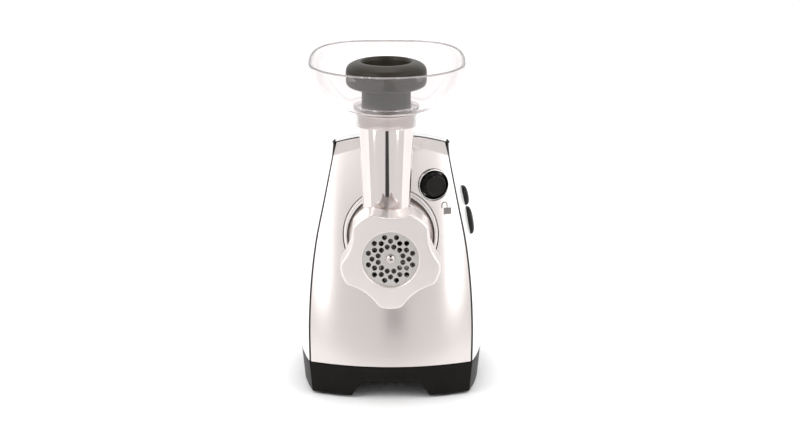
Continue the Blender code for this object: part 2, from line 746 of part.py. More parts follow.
# Motor ---------------------------------------------------------------------------------

ARMATURE_R = 23.4 * MM
STATOR_BORE_R = 24.4 * MM
STATOR_Y = (26 * MM, 74 * MM)
SHAFT_R = 4 * MM
MOTOR_END_Y = 114 * MM


def stator_hole():
    """Bore between two poles, opening into a coil window on each side."""
    points = []
    for i in range(48):
        angle = math.tau * (i + 0.5) / 48
        beside = abs(math.cos(angle)) > math.cos(math.radians(34))
        radius = 35.5 * MM if beside else STATOR_BORE_R
        points.append((radius * math.cos(angle), radius * math.sin(angle)))
    return points


def slotted_outline(radius, slots, depth):
    """Armature stamping: a disc with straight-sided winding slots."""
    points = []
    for slot in range(slots):
        middle = math.tau * slot / slots
        for turn, reach in ((-0.34, radius), (-0.16, radius), (-0.13, radius - depth),
                            (0.13, radius - depth),
                            (0.16, radius), (0.34, radius)):
            angle = middle + turn * math.tau / slots
            points.append((reach * math.cos(angle), reach * math.sin(angle)))
    return points


def make_motor():
    """Universal motor: field, armature, commutator, brushes, fan and brackets."""
    low, high = STATOR_Y
    half_wide, half_high, corner = 44 * MM, 32.5 * MM, 9 * MM
    outer = [(half_wide, corner - half_high), (half_wide, half_high - corner),
             (half_wide - corner, half_high),
             (corner - half_wide, half_high), (-half_wide, half_high - corner),
             (-half_wide, corner - half_high),
             (corner - half_wide, -half_high), (half_wide - corner, -half_high)]
    stamped("motor_stator", [outer, stator_hole()], high - low, "lamination", at_motor((low + high) / 2),
            FRONT)
    for side, hand in (("upper", 1), ("lower", -1)):
        coil = bpy.data.curves.new(f"field_coil_{side}", "CURVE")
        coil.dimensions = "3D"
        coil.bevel_depth = 3.3 * MM
        coil.bevel_resolution = 1
        spline = coil.splines.new("POLY")
        route = []
        for y, turn in ((low - 6 * MM, -1), (high + 6 * MM, 1)):
            for i in range(7):
                angle = math.radians(mix(166, 14, i / 6))
                angle = angle if turn < 0 else math.pi - angle
                reach = 31 * MM
                route.append((reach * math.cos(angle), y, hand * reach * math.sin(angle)))
        spline.points.add(len(route) - 1)
        for point, (x, y, z) in zip(spline.points, route):
            point.co = (x, y, z, 1.0)
        spline.use_cyclic_u = True
        place(f"field_coil_{side}", curve_to_mesh(f"field_coil_{side}", coil), "copper", at_motor(0))

    core = stamped("armature_core", [slotted_outline(ARMATURE_R, 12, 7 * MM), circle(4.3 * MM, 16)],
                   high - low,
                   "lamination", at_motor((low + high) / 2), FRONT)
    for end, y in (("front", low - 5.5 * MM), ("rear", high + 0.6 * MM)):
        winding = [(18 * MM, 4.9 * MM), (20 * MM, 2.5 * MM), (18 * MM, 0), (5 * MM, 0), (5 * MM, 4.9 * MM)]
        turned(f"armature_winding_{end}", winding, "copper", at_motor(y), REAR, 20)
    commutator = [(13 * MM, 14 * MM), (13 * MM, 0), (4.3 * MM, 0), (4.3 * MM, 14 * MM)]
    turned("commutator", commutator, "copper", at_motor(83 * MM), REAR, 24)
    for side, hand in (("left", -1), ("right", 1)):
        spot = at_motor(90 * MM) + ACROSS * hand * 24 * MM
        block(f"brush_{side}", (21 * MM, 8 * MM, 6 * MM), "carbon", spot)

    shaft = cylinder("motor_shaft", SHAFT_R, MOTOR_END_Y + 4 * MM, "bright_steel", at_motor(-4 * MM), REAR,
                     sides=16)
    half_tooth = math.pi / PINION_TEETH
    pinion = stamped("add_motor_pinion", [gear_outline(PINION_TEETH, IDLER_MODULE, half_tooth - MESH_POINT,
                                                       2)],
                     10 * MM, None, at_motor(-9 * MM), FRONT)
    join(shaft, pinion)
    blades = []
    for i in range(9):
        for turn, reach in ((0.0, 12 * MM), (0.12, 30 * MM), (0.42, 30 * MM), (0.5, 12 * MM)):
            angle = math.tau * (i + turn) / 9
            blades.append((reach * math.cos(angle), reach * math.sin(angle)))
    stamped("cooling_fan", [blades, circle(4.3 * MM, 16)], 5 * MM, "black_plastic", at_motor(109.5 * MM),
            FRONT)

    for end, y in (("front", 8 * MM), ("rear", 100 * MM)):
        plate = [(x * (0.5 if end == "rear" else 1.0), z) for x, z in outer]
        bracket = stamped(f"motor_bracket_{end}", [plate, circle(11.3 * MM, 24)], 5 * MM, "cast_aluminium",
                          at_motor(y), FRONT)
        round_edges(bracket, 0.8 * MM, 1)
        ring = [(11 * MM, 3 * MM), (11 * MM, -3 * MM), (4.3 * MM, -3 * MM), (4.3 * MM, 3 * MM)]
        turned(f"shaft_bearing_{end}", ring, "bright_steel", at_motor(y), FRONT, 24)

    floor_z = BASE_FLOOR_Z + BASE_FLOOR + GAP
    seat_z = MOTOR_Z - half_high - GAP
    cradle = [(-48 * MM, 0), (48 * MM, 0), (48 * MM, 3 * MM), (30 * MM, 3 * MM),
              (30 * MM, seat_z - floor_z),
              (-30 * MM, seat_z - floor_z), (-30 * MM, 3 * MM), (-48 * MM, 3 * MM)]
    frame = stamped("motor_cradle", [cradle], 40 * MM, "black_plastic", (0, DRIVE_Y + 50 * MM, floor_z),
                    FRONT)
    number = 0
    for x in (-39 * MM, 39 * MM):
        for y in (DRIVE_Y + 38 * MM, DRIVE_Y + 62 * MM):
            number += 1
            hole = cylinder(f"cut_cradle_{number}", 2.3 * MM, 20 * MM, None, (x, y, 10 * MM), sides=12)
            cut(frame, hole)
            cut(bpy.data.objects["base_tray"], hole)
            head_z = BASE_FLOOR_Z - GAP
            screw = [(0, floor_z + 5.5 * MM), (1.9 * MM, floor_z + 5.5 * MM), (1.9 * MM, head_z),
                     (4 * MM, head_z),
                     (3.4 * MM, head_z - 2.2 * MM), (0, head_z - 2.2 * MM)]
            turned(f"cradle_screw_{number}", screw, "bright_steel", (x, y, 0), steps=12)


def make_switches():
    """The two switch bodies behind the buttons in the right shell."""
    for name, (z, half_height, _) in SIDE_BUTTONS.items():
        spot = Vector((side_x(SIDE_BUTTON_Y, z), SIDE_BUTTON_Y, z))
        outward = side_normal(SIDE_BUTTON_Y, z)
        body = block(name.replace("button", "switch"), (13 * MM, 1.5 * half_height, 8 * MM),
                     "black_plastic",
                     spot - outward * (6 * MM + SIDE_BUTTON_TRAVEL + 5 * MM), outward)
        round_edges(body, 0.6 * MM, 1)


# Mincing head -----------------------------------------------------------------------------

NUT_LOBE = ((-28, 40.3), (-20, 42.7), (-14, 45.9), (-11.5, 46.9), (0, 47.5), (11.5, 46.9), (14, 45.9),
            (20, 42.7),
            (28, 40.3), (36, 39.5))       # angle in degrees from a lobe's middle, radius in mm
PLATE_FRONT = NUT_FACE_Y + NUT_LIP + GAP
KNIFE_FRONT = PLATE_FRONT + PLATE_THICK + GAP
KNIFE_THICK = 4.2 * MM
WORM_FRONT = KNIFE_FRONT + KNIFE_THICK + GAP
WORM_REAR = CHAMBER_REAR - 2.4 * MM
WORM_PITCH = 38 * MM


def tube_radius(z):
    """Outer radius of the feed tube, which narrows towards the barrel."""
    return mix(TUBE_FOOT_R, TUBE_TOP_R, (z - TUBE_FOOT_Z) / (TUBE_MOUTH_Z - TUBE_FOOT_Z))


def make_head_casting():
    """Barrel, feed tube and bayonet flange in one aluminium casting."""
    rim_y = PLATE_FRONT + 2.4 * MM
    barrel = cylinder("head_casting", BARREL_R, -rim_y + CHAMBER_REAR + 6 * MM, "cast_aluminium",
                      at_y(CHAMBER_REAR + 6 * MM), FRONT, sides=32)
    flange = cylinder("add_flange", FLANGE_R, 6 * MM, None, at_y(CHAMBER_REAR + 6 * MM), FRONT, sides=32)
    hub = cylinder("add_hub", 30 * MM, 8 * MM, None, at_y(HEAD_REAR_Y), FRONT, sides=24)
    low = 165 * MM
    tube = cylinder("add_tube", tube_radius(low), TUBE_MOUTH_Z - low, None, (TUBE_X, TUBE_Y, low), UP,
                    tube_radius(TUBE_MOUTH_Z), sides=32)
    join(barrel, flange, hub, tube)
    chamber = cylinder("cut_chamber", CHAMBER_R, 100 * MM, None, at_y(CHAMBER_REAR), FRONT, sides=32)
    mouth = cylinder("cut_plate_seat", PLATE_R + 0.35 * MM, 30 * MM, None, at_y(KNIFE_FRONT + 3.5 * MM),
                     FRONT,
                     sides=40)
    neck = cylinder("cut_neck", 13.2 * MM, 40 * MM, None, at_y(-70 * MM), REAR, sides=24)
    top = TUBE_MOUTH_Z + 5 * MM
    bore = cylinder("cut_tube_bore", tube_radius(low) - TUBE_WALL, top - low, None, (TUBE_X, TUBE_Y, low),
                    UP,
                    tube_radius(top) - TUBE_WALL, sides=32)
    bolt_pocket = cylinder("cut_bolt_notch", BOLT_R + 0.6 * MM, 4 * MM, None,
                           Vector((BOLT_SPOT.x, CHAMBER_REAR + 6.5 * MM, BOLT_SPOT.z)), FRONT, sides=12)
    cut(barrel, chamber, mouth, neck, bore, bolt_pocket)


def make_worm():
    """Feed worm: one flight wound round a core, with its journals."""
    flight = ((-34, 0), (-18, 1), (0, 1), (18, 1), (34, 0), (70, 0), (110, 0), (150, 0), (190, 0),
              (230, 0), (270, 0))
    length = WORM_REAR - WORM_FRONT
    turns = length / WORM_PITCH
    sections = round(turns * 12)

    def build(shape):
        rings = []
        for i in range(sections + 1):
            share = i / sections
            core = mix(11.5 * MM, 10 * MM, share)
            ring = []
            for degrees, lifted in flight:
                angle = math.radians(degrees) + math.tau * turns * share
                radius = CHAMBER_R - 0.7 * MM if lifted else core
                ring.append(shape.verts.new((radius * math.cos(angle), radius * math.sin(angle),
                                             length * share)))
            rings.append(ring)
        for low, high in zip(rings, rings[1:]):
            for j in range(len(flight)):
                shape.faces.new((low[j - 1], low[j], high[j], high[j - 1]))
        shape.faces.new(list(reversed(rings[0])))
        shape.faces.new(rings[-1])

    worm = place("feed_worm", mesh_from(build, "feed_worm"), "cast_aluminium", at_y(WORM_REAR), FRONT)
    journal = cylinder("add_worm_journal", 12.8 * MM, 17 * MM, None, at_y(HEAD_REAR_Y + 0.4 * MM), FRONT,
                       sides=20)
    square = block("add_worm_square", (10 * MM, 10 * MM, 12 * MM), None, at_y(KNIFE_FRONT + GAP + 6 * MM),
                   FRONT)
    pin = cylinder("add_worm_pin", PIN_R, 20 * MM, None, at_y(NUT_FACE_Y + 21.5 * MM), FRONT, sides=20)
    socket = cylinder("cut_worm_drive", 7.2 * MM, 12 * MM, None, at_y(-57 * MM), REAR, sides=6)
    cut(join(worm, journal, square, pin), socket)

    coupling = cylinder("worm_coupling", 8.7 * MM, 10 * MM, "nylon", at_y(-35.5 * MM), FRONT, sides=6)
    coupling_nose = cylinder("add_coupling_nose", 6.8 * MM, 20 * MM, None, at_y(-36.5 * MM), FRONT, sides=6)
    join(coupling, coupling_nose)
    washer = [(20 * MM, 1.8 * MM), (20 * MM, 0), (13.1 * MM, 0), (13.1 * MM, 1.8 * MM)]
    turned("thrust_washer", washer, "nylon", at_y(CHAMBER_REAR - GAP), FRONT, 24)

    blades = []
    for i in range(4):
        for degrees, reach in ((-20, 11), (-15, 28), (8, 28.6), (26, 12.5)):
            angle = math.radians(90 * i + degrees)
            blades.append((reach * MM * math.cos(angle), reach * MM * math.sin(angle)))
    square_hole = [(x * 5.4 * MM, y * 5.4 * MM) for x, y in ((1, 1), (-1, 1), (-1, -1), (1, -1))]
    stamped("cutting_knife", [blades, square_hole], KNIFE_THICK, "bright_steel",
            at_y(KNIFE_FRONT + KNIFE_THICK / 2),
            FRONT)


def make_plate_and_nut():
    """Cutting plate with three rings of holes, and the lobed ring nut that holds it."""
    outlines = [circle(PLATE_R, 36), circle(PIN_R + GAP, 12)]
    for ring_r, first in HOLE_RINGS:
        for i in range(HOLES_PER_RING):
            angle = math.radians(first) + math.tau * i / HOLES_PER_RING
            centre = (ring_r * MM * math.cos(angle), ring_r * MM * math.sin(angle))
            outlines.append(circle(PLATE_HOLE_R, 6, centre))
    stamped("cutting_plate", outlines, PLATE_THICK, "bright_steel", at_y(PLATE_FRONT + PLATE_THICK / 2),
            FRONT)

    outline = []
    for lobe in range(NUT_LOBES):
        for degrees, radius in NUT_LOBE:
            angle = math.radians(degrees + 360 / NUT_LOBES * lobe - 90)
            outline.append((radius * MM * math.cos(angle), radius * MM * math.sin(angle)))
    nut = stamped("ring_nut", [outline, circle(NUT_MOUTH_R, 40)], NUT_DEPTH, "cast_aluminium",
                  at_y(NUT_FACE_Y + NUT_DEPTH / 2), FRONT)
    bore = cylinder("cut_nut_bore", BARREL_R + 0.5 * MM, 60 * MM, None, at_y(NUT_FACE_Y + NUT_LIP), REAR,
                    sides=40)
    cut(nut, bore)


# Tray and pusher ---------------------------------------------------------------------------

TRAY_FLOOR_Z = TUBE_MOUTH_Z + GAP


def tray_plan(u):
    """The rim: a half round in front, a squarer curve behind."""
    angle = math.tau * u
    behind = math.sin(angle) > 0
    reach = TRAY_REAR_Y - TRAY_WIDEST_Y if behind else TRAY_HALF_WIDTH
    power = 2 / 3.2 if behind else 1.0
    x = math.copysign(abs(math.cos(angle)) ** power, math.cos(angle)) * TRAY_HALF_WIDTH
    y = math.copysign(abs(math.sin(angle)) ** power, math.sin(angle)) * reach
    return Vector((TRAY_X + x, TRAY_WIDEST_Y + y, 0.0))


def tray_surface(u, t):
    """The bowl's outer face, from the ring round the tube up to the rim."""
    swing = t * math.pi / 2
    angle = math.tau * u
    floor_r = 29.4 * MM
    floor = Vector((TUBE_X + floor_r * math.cos(angle), TUBE_Y + floor_r * math.sin(angle), 0.0))
    point = floor.lerp(tray_plan(u), math.sin(swing))
    point.z = mix(TRAY_FLOOR_Z + 0.5 * MM, TRAY_RIM_Z, (1 - math.cos(swing)) ** 0.9)
    return point


def make_tray():
    """Clear food tray with a collar that drops over the feed tube."""
    tray = skin("food_tray", tray_surface, 30, 5, TRAY_SKIN, "clear_plastic", closed=True)
    collar = [(30.9 * MM, 5.4 * MM), (30.9 * MM, 0), (28.6 * MM, 0), (28.6 * MM, -13 * MM),
              (26.6 * MM, -13 * MM),
              (26.6 * MM, 0), (24.3 * MM, 0), (24.3 * MM, 5.4 * MM)]
    ring = turned("add_tray_collar", collar, None, (TUBE_X, TUBE_Y, TRAY_FLOOR_Z), UP, 30)
    join(tray, ring)


def make_pusher():
    """Hollow pusher: a thick ring for the hand on a stem that fits the feed tube."""
    stem_low = 196 * MM
    clearance = 1.1 * MM

    def stem_radius(z):
        return min(PUSHER_STEM_R, tube_radius(z) - TUBE_WALL - clearance)

    top = PUSHER_TOP_Z
    profile = [(0, stem_low + 2.5 * MM), (stem_radius(stem_low) - 2.5 * MM, stem_low + 2.5 * MM),
               (20.4 * MM, top - 30 * MM), (22.6 * MM, top - 3 * MM), (24 * MM, top),
               (28 * MM, top - 0.6 * MM),
               (35 * MM, top - 4 * MM), (37.4 * MM, top - 7 * MM), (PUSHER_HEAD_R, top - 11 * MM),
               (37.4 * MM, top - 20.5 * MM), (34.8 * MM, top - 23.4 * MM), (PUSHER_STEM_R, top - 25 * MM),
               (PUSHER_STEM_R, TUBE_MOUTH_Z + 1 * MM), (stem_radius(stem_low), stem_low), (0, stem_low)]
    turned("pusher", profile, "olive_plastic", (TUBE_X, TUBE_Y, 0), steps=24)


make_base()
make_shells()
make_socket()
make_release()
make_gear_train()
make_gear_case()
make_motor()
make_switches()
make_head_casting()
make_worm()
make_plate_and_nut()
make_tray()
make_pusher()
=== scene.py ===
import math

import bmesh
import bpy
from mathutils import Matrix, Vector


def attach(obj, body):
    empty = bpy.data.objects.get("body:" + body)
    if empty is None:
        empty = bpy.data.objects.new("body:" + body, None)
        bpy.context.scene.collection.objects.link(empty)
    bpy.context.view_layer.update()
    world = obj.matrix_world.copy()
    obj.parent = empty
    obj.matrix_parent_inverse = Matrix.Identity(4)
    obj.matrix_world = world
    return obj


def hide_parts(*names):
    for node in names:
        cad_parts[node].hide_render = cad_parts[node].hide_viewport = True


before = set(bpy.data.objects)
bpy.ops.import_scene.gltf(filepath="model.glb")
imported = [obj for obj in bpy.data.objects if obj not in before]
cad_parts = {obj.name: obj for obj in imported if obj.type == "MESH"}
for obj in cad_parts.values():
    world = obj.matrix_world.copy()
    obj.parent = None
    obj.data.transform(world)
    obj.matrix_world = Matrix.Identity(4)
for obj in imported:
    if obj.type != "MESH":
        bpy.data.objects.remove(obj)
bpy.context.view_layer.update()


# Light, floor and camera ---------------------------------------------------------------
# A white table under a white sky, with a soft box on each side and one above. The cards
# are out of the camera's sight and show only in reflections: dark ones for the fine dark
# lines in polished metal, grey ones for the steel, bright strips for its side bands.

class Value:
    """A shader socket that takes part in sums written in Python."""

    def __init__(self, tree, socket):
        self.tree = tree
        self.socket = socket

    def reckon(self, operation, first, second):
        sum_node = self.tree.nodes.new("ShaderNodeMath")
        sum_node.operation = operation
        for slot, part in zip(sum_node.inputs, (first, second)):
            if isinstance(part, Value):
                self.tree.links.new(part.socket, slot)
            else:
                slot.default_value = part
        return Value(self.tree, sum_node.outputs[0])

    def __add__(self, other):
        return self.reckon("ADD", self, other)

    def __radd__(self, other):
        return self.reckon("ADD", other, self)

    def __sub__(self, other):
        return self.reckon("SUBTRACT", self, other)

    def __rsub__(self, other):
        return self.reckon("SUBTRACT", other, self)

    def __mul__(self, other):
        return self.reckon("MULTIPLY", self, other)

    def __rmul__(self, other):
        return self.reckon("MULTIPLY", other, self)


class Finish:
    """A material as it is built up, node by node."""

    def __init__(self, name, roughness=0.5, metallic=0.0, **fixed):
        self.material = bpy.data.materials.new(name)
        self.material.use_nodes = True
        self.tree = self.material.node_tree
        self.shader = self.tree.nodes["Principled BSDF"]
        self.feed("Roughness", roughness)
        self.feed("Metallic", metallic)
        for socket, value in fixed.items():
            self.feed(socket.replace("_", " "), value)

    def node(self, kind, settings, inputs, output=0):
        """Any node: its settings first, then the values or links of its sockets."""
        made = self.tree.nodes.new(f"ShaderNode{kind}")
        for setting, value in settings.items():
            if setting == "stops":
                for stop, (place, colour) in zip(made.color_ramp.elements, value):
                    stop.position = place
                    stop.color = (*colour, 1.0)
            else:
                setattr(made, setting, value)
        for socket, value in inputs.items():
            if isinstance(value, Value):
                self.tree.links.new(value.socket, made.inputs[socket])
            else:
                made.inputs[socket].default_value = value
        return Value(self.tree, made.outputs[output])

    def feed(self, socket, value):
        if isinstance(value, Value):
            self.tree.links.new(value.socket, self.shader.inputs[socket])
        else:
            self.shader.inputs[socket].default_value = value

    def place(self, stretch=(1.0, 1.0, 1.0)):
        """Where a point is on the object, in metres, stretched for a grain."""
        spot = self.node("TexCoord", {}, {}, "Object")
        return self.node("VectorMath", {"operation": "MULTIPLY"}, {0: spot, 1: stretch})

    def grain(self, scale, stretch=(1.0, 1.0, 1.0), detail=3.0):
        """Noise from 0 to 1 with a number of lumps to the metre."""
        inputs = {"Vector": self.place(stretch), "Scale": scale, "Detail": detail}
        return self.node("TexNoise", {}, inputs, "Fac")

    def shades(self, mask, dark, light):
        """A colour that runs between two shades with a mask."""
        inputs = {0: mask, 6: (*dark, 1.0), 7: (*light, 1.0)}
        return self.node("Mix", {"data_type": "RGBA"}, inputs, 2)

    def bump(self, height, depth, strength=1.0):
        """Relief of a depth in metres."""
        inputs = {"Height": height, "Distance": depth, "Strength": strength}
        self.feed("Normal", self.node("Bump", {}, inputs, "Normal"))


FLOOR_SIDE = 9.0
FLOOR_CUTS = 8

floor_finish = Finish("table white", 0.9)
floor_mottle = floor_finish.grain(9.0)
floor_finish.feed("Base Color", floor_finish.shades(floor_mottle, (0.95, 0.95, 0.95), (0.97, 0.97, 0.97)))
bpy.ops.mesh.primitive_grid_add(x_subdivisions=FLOOR_CUTS, y_subdivisions=FLOOR_CUTS, size=FLOOR_SIDE)
floor = bpy.context.object
floor.name = "table_top"
floor.data.materials.append(floor_finish.material)

CARDS = {                                  # size, place, tilt from flat, swing, kind
    "card_floor": ((4.0, 2.2), (0.0, -1.33, 0.003), 0.0, 0.0, "grey"),
    "card_front": ((4.0, 0.40), (0.0, -2.40, 0.20), 90.0, 0.0, "grey"),
    "card_camera": ((0.70, 0.95), (0.03, -2.20, 0.87), 90.0, 0.0, "dark"),
    "card_line": ((0.21, 0.75), (0.045, -0.97, 0.006), 0.0, 0.0, "dark"),
    "card_high": ((0.60, 0.95), (0.0, -0.69, 0.89), 40.0, 0.0, "dark"),
    "strip_left": ((0.15, 0.80), (-0.73, -0.65, 0.38), 90.0, -48.0, "bright"),
    "strip_right": ((0.15, 0.80), (0.69, -0.69, 0.38), 90.0, 45.0, "bright"),
}
CARD_GLOW = {"dark": 0.0, "grey": 0.86, "bright": 3.4}
card_finishes = {}
for kind, glow in CARD_GLOW.items():
    card_finish = Finish(f"{kind} card", 0.9, Emission_Strength=glow)
    card_finish.feed("Base Color", (0.012, 0.012, 0.013, 1.0))
    card_finish.feed("Emission Color", (1.0, 1.0, 1.0, 1.0))
    card_finishes[kind] = card_finish
for name, ((across, along), at, tilt, swing, kind) in CARDS.items():
    turn = (math.radians(tilt), 0.0, math.radians(swing))
    bpy.ops.mesh.primitive_grid_add(size=1.0, location=at, rotation=turn)
    card = bpy.context.object
    card.name = name
    card.scale = (across, along, 1.0)
    card.visible_camera = False
    card.visible_diffuse = False
    card.visible_shadow = False
    card.visible_transmission = False
    card.data.materials.append(card_finishes[kind].material)

sky = bpy.data.worlds.new("even white sky")
sky.use_nodes = True
SKY_STRENGTH = 1.30
SKY_SHADES = ((0.0, 0.56), (0.09, 0.62), (0.22, 1.0), (0.60, 0.85), (1.0, 0.74))   # from the horizon up
sky_tree = sky.node_tree
sky_place = sky_tree.nodes.new("ShaderNodeTexCoord")
sky_height = sky_tree.nodes.new("ShaderNodeSeparateXYZ")
sky_ramp = sky_tree.nodes.new("ShaderNodeValToRGB")
for _ in SKY_SHADES[2:]:
    sky_ramp.color_ramp.elements.new(0.5)
for stop, (height, shade) in zip(sky_ramp.color_ramp.elements, SKY_SHADES):
    stop.position = height
    stop.color = (shade, shade, shade, 1.0)
sky_tree.links.new(sky_place.outputs["Generated"], sky_height.inputs[0])
sky_tree.links.new(sky_height.outputs["Z"], sky_ramp.inputs["Fac"])
sky_tree.links.new(sky_ramp.outputs["Color"], sky_tree.nodes["Background"].inputs["Color"])
sky_tree.nodes["Background"].inputs["Strength"].default_value = SKY_STRENGTH
bpy.context.scene.world = sky

SOFT_BOXES = {                             # size, watts, place, what it looks at
    "box_left": (1.1, 14.0, (-1.5, -1.3, 1.5), (0.0, 0.0, 0.15)),
    "box_right": (1.1, 9.0, (1.6, -1.0, 1.3), (0.0, 0.0, 0.15)),
    "box_above": (0.9, 8.0, (0.0, 0.2, 1.9), (0.0, 0.0, 0.15)),
}
for name, (size, watts, at, towards) in SOFT_BOXES.items():
    lamp = bpy.data.lights.new(name, "AREA")
    lamp.size = size
    lamp.energy = watts
    lamp_object = bpy.data.objects.new(name, lamp)
    lamp_object.location = at
    lamp_object.rotation_euler = (Vector(towards) - Vector(at)).to_track_quat("-Z", "Y").to_euler()
    bpy.context.collection.objects.link(lamp_object)

CAMERA_AT = (0.0088, -2.80, 0.857)
CAMERA_DOWN = math.radians(13.94)
LENS = 133.2                               # for a frame 36 mm across
FRAME_WIDTH = 36.0
camera_lens = bpy.data.cameras.new("camera")
camera_lens.lens = LENS
camera_lens.sensor_width = FRAME_WIDTH
camera = bpy.data.objects.new("camera", camera_lens)
camera.location = CAMERA_AT
camera.rotation_euler = (math.pi / 2 - CAMERA_DOWN, 0.0, 0.0)
bpy.context.collection.objects.link(camera)
bpy.context.scene.camera = camera
bpy.context.scene.view_settings.view_transform = "Standard"


# Base tray and feet --------------------------------------------------------------------
# A black moulded tray, arched in front and behind, that the casing stands in. It rests on
# four soft rubber feet pushed onto posts inside it.

MM = 0.001
UP = Vector((0.0, 0.0, 1.0))
CORNER_X = ((33, 78.8), (70, 79.2), (110, 77.3), (150, 72.6), (190, 64.6), (250, 52.8))
WIDEST_X = ((33, 88.8), (65, 88.6), (105, 84.6), (140, 79.8), (180, 72.8), (225, 61.5), (255, 53.5))
ROOF_EDGE_Z = ((-36, 232.5), (-21, 243), (5, 240), (50, 224), (110, 193))
WIDEST_Y = 30 * MM
REAR_SHARE = 0.84
REAR_CURVE = 2.2
MIDDLE_Y = 35 * MM
REAR_CORNER_Y = 120 * MM
REAR_BULGE = 30 * MM
REAR_LEAN = 0.07
ROOF_ARCH = 8.5 * MM
PANEL_ROUND = 150 * MM
BASE_TOP_Z = 33 * MM
BASE_LOW_Z = 2 * MM
BASE_TAPER = 0.965
BASE_WALL = 3 * MM
BASE_FLOOR = (18.5 * MM, 21 * MM)
FOOT_HEIGHT = 3.6 * MM
POST_R = 8 * MM
FOOT_SPOTS = {
    "front_left": (-50 * MM, -46 * MM), "front_right": (50 * MM, -46 * MM),
    "rear_left": (-50 * MM, 108 * MM), "rear_right": (50 * MM, 108 * MM),
}


def mix(first, second, share):
    return first + (second - first) * share


def in_metres(points):
    """Pairs given in millimetres."""
    return [(across * MM, along * MM) for across, along in points]


def circle(radius, height, steps, middle=(0.0, 0.0)):
    """A level ring of points."""
    return [(middle[0] + radius * math.cos(a), middle[1] + radius * math.sin(a), height)
            for a in (math.tau * i / steps for i in range(steps))]


def smooth_through(points, place_at):
    """Read a smooth curve through (place, value) points, given in millimetres."""
    at = place_at / MM
    last = len(points) - 1
    i = 0
    while i < last - 1 and at > points[i + 1][0]:
        i += 1

    def slope(k):
        low, high = max(k - 1, 0), min(k + 1, last)
        return (points[high][1] - points[low][1]) / (points[high][0] - points[low][0])

    (x0, y0), (x1, y1) = points[i], points[i + 1]
    width = x1 - x0
    t = min(max((at - x0) / width, 0.0), 1.0)
    value = (2 * t**3 - 3 * t**2 + 1) * y0 + (3 * t**2 - 2 * t**3) * y1
    value += (t**3 - 2 * t**2 + t) * width * slope(i) + (t**3 - t**2) * width * slope(i + 1)
    return value * MM


def panel_y(x, z):
    """Depth of the curved front panel, which leans back as it rises."""
    rise = z / MM - 33
    middle = (-73.5 + 0.04306 * rise + 0.000498 * rise * rise) * MM
    return middle + x * x / (2 * PANEL_ROUND)


def corner_x(z):
    return smooth_through(CORNER_X, z)


def corner_y(z):
    return panel_y(corner_x(z), z)


def rear_corner_y(z):
    return REAR_CORNER_Y - REAR_LEAN * (z - BASE_TOP_Z)


def side_x(y, z):
    """Half width of the casing at a depth and height."""
    widest = smooth_through(WIDEST_X, z)
    if y < WIDEST_Y:
        back = (WIDEST_Y - y) / (WIDEST_Y - corner_y(z))
        return widest - (widest - corner_x(z)) * back**2
    back = (y - WIDEST_Y) / (rear_corner_y(z) - WIDEST_Y)
    return widest - widest * (1 - REAR_SHARE) * back**REAR_CURVE


def plan_outline(z, inset=0.0, share=1.0, steps=40):
    """The casing's plan at a height, anticlockwise from the left front corner."""
    points = []
    for i in range(steps):
        x = (-1 + 2 * i / steps) * corner_x(z)
        points.append(Vector((x, panel_y(x, z), z)))
    for i in range(steps):
        y = mix(corner_y(z), rear_corner_y(z), i / steps)
        points.append(Vector((side_x(y, z), y, z)))
    for i in range(steps):
        across = 1 - 2 * i / steps
        y = rear_corner_y(z)
        points.append(Vector((across * side_x(y, z), y + REAR_BULGE * (1 - across**2), z)))
    for i in range(steps):
        y = mix(rear_corner_y(z), corner_y(z), i / steps)
        points.append(Vector((-side_x(y, z), y, z)))
    middle = Vector((0.0, MIDDLE_Y, z))
    outline = []
    for i, point in enumerate(points):
        run = points[(i + 1) % len(points)] - points[i - 1]
        outward = Vector((run.y, -run.x, 0.0)).normalized()
        outline.append(middle + (point - outward * inset - middle) * share)
    return outline


def piece_from(name, build, at=(0, 0, 0), along=UP):
    """A new piece from mesh code, its +Z turned along a direction and moved to a place."""
    mesh = bpy.data.meshes.new(name)
    shape = bmesh.new()
    build(shape)
    bmesh.ops.recalc_face_normals(shape, faces=shape.faces)
    turn = Vector(along).to_track_quat("Z", "Y").to_matrix().to_4x4()
    if Vector(along) != UP:
        bmesh.ops.transform(shape, matrix=turn, verts=shape.verts)
    bmesh.ops.translate(shape, vec=Vector(at), verts=shape.verts)
    shape.to_mesh(mesh)
    shape.free()
    piece = bpy.data.objects.new(name, mesh)
    bpy.context.collection.objects.link(piece)
    return piece


def ringed(name, rings, at=(0, 0, 0), along=UP, ends=True, joined=False):
    """A skin over like rings of points, with flat ends or joined from last to first."""
    def build(shape):
        loops = [[shape.verts.new(point) for point in ring] for ring in rings]
        pairs = list(zip(loops, loops[1:]))
        if joined:
            pairs.append((loops[-1], loops[0]))
        for low, high in pairs:
            for i in range(len(low)):
                shape.faces.new((low[i - 1], low[i], high[i], high[i - 1]))
        if ends and not joined:
            shape.faces.new(list(reversed(loops[0])))
            shape.faces.new(loops[-1])

    return piece_from(name, build, at, along)


def settle(piece):
    """Keep the mesh that a piece's modifiers make."""
    seen = piece.evaluated_get(bpy.context.evaluated_depsgraph_get())
    kept = bpy.data.meshes.new_from_object(seen)
    piece.modifiers.clear()
    piece.data = kept
    return piece


def carve(piece, *others, operation="DIFFERENCE"):
    """Cut other solids out of a piece, or join them to it."""
    for other in others:
        change = piece.modifiers.new("carve", "BOOLEAN")
        change.operation = operation
        change.solver = "EXACT"
        change.object = other
        settle(piece)
        bpy.data.objects.remove(other)
    return piece


def ease_edges(piece, width, segments=2, sharper_than=50):
    """Round the edges that turn sharply."""
    bevel = piece.modifiers.new("ease", "BEVEL")
    bevel.width = width
    bevel.segments = segments
    bevel.limit_method = "ANGLE"
    bevel.angle_limit = math.radians(sharper_than)
    return settle(piece)


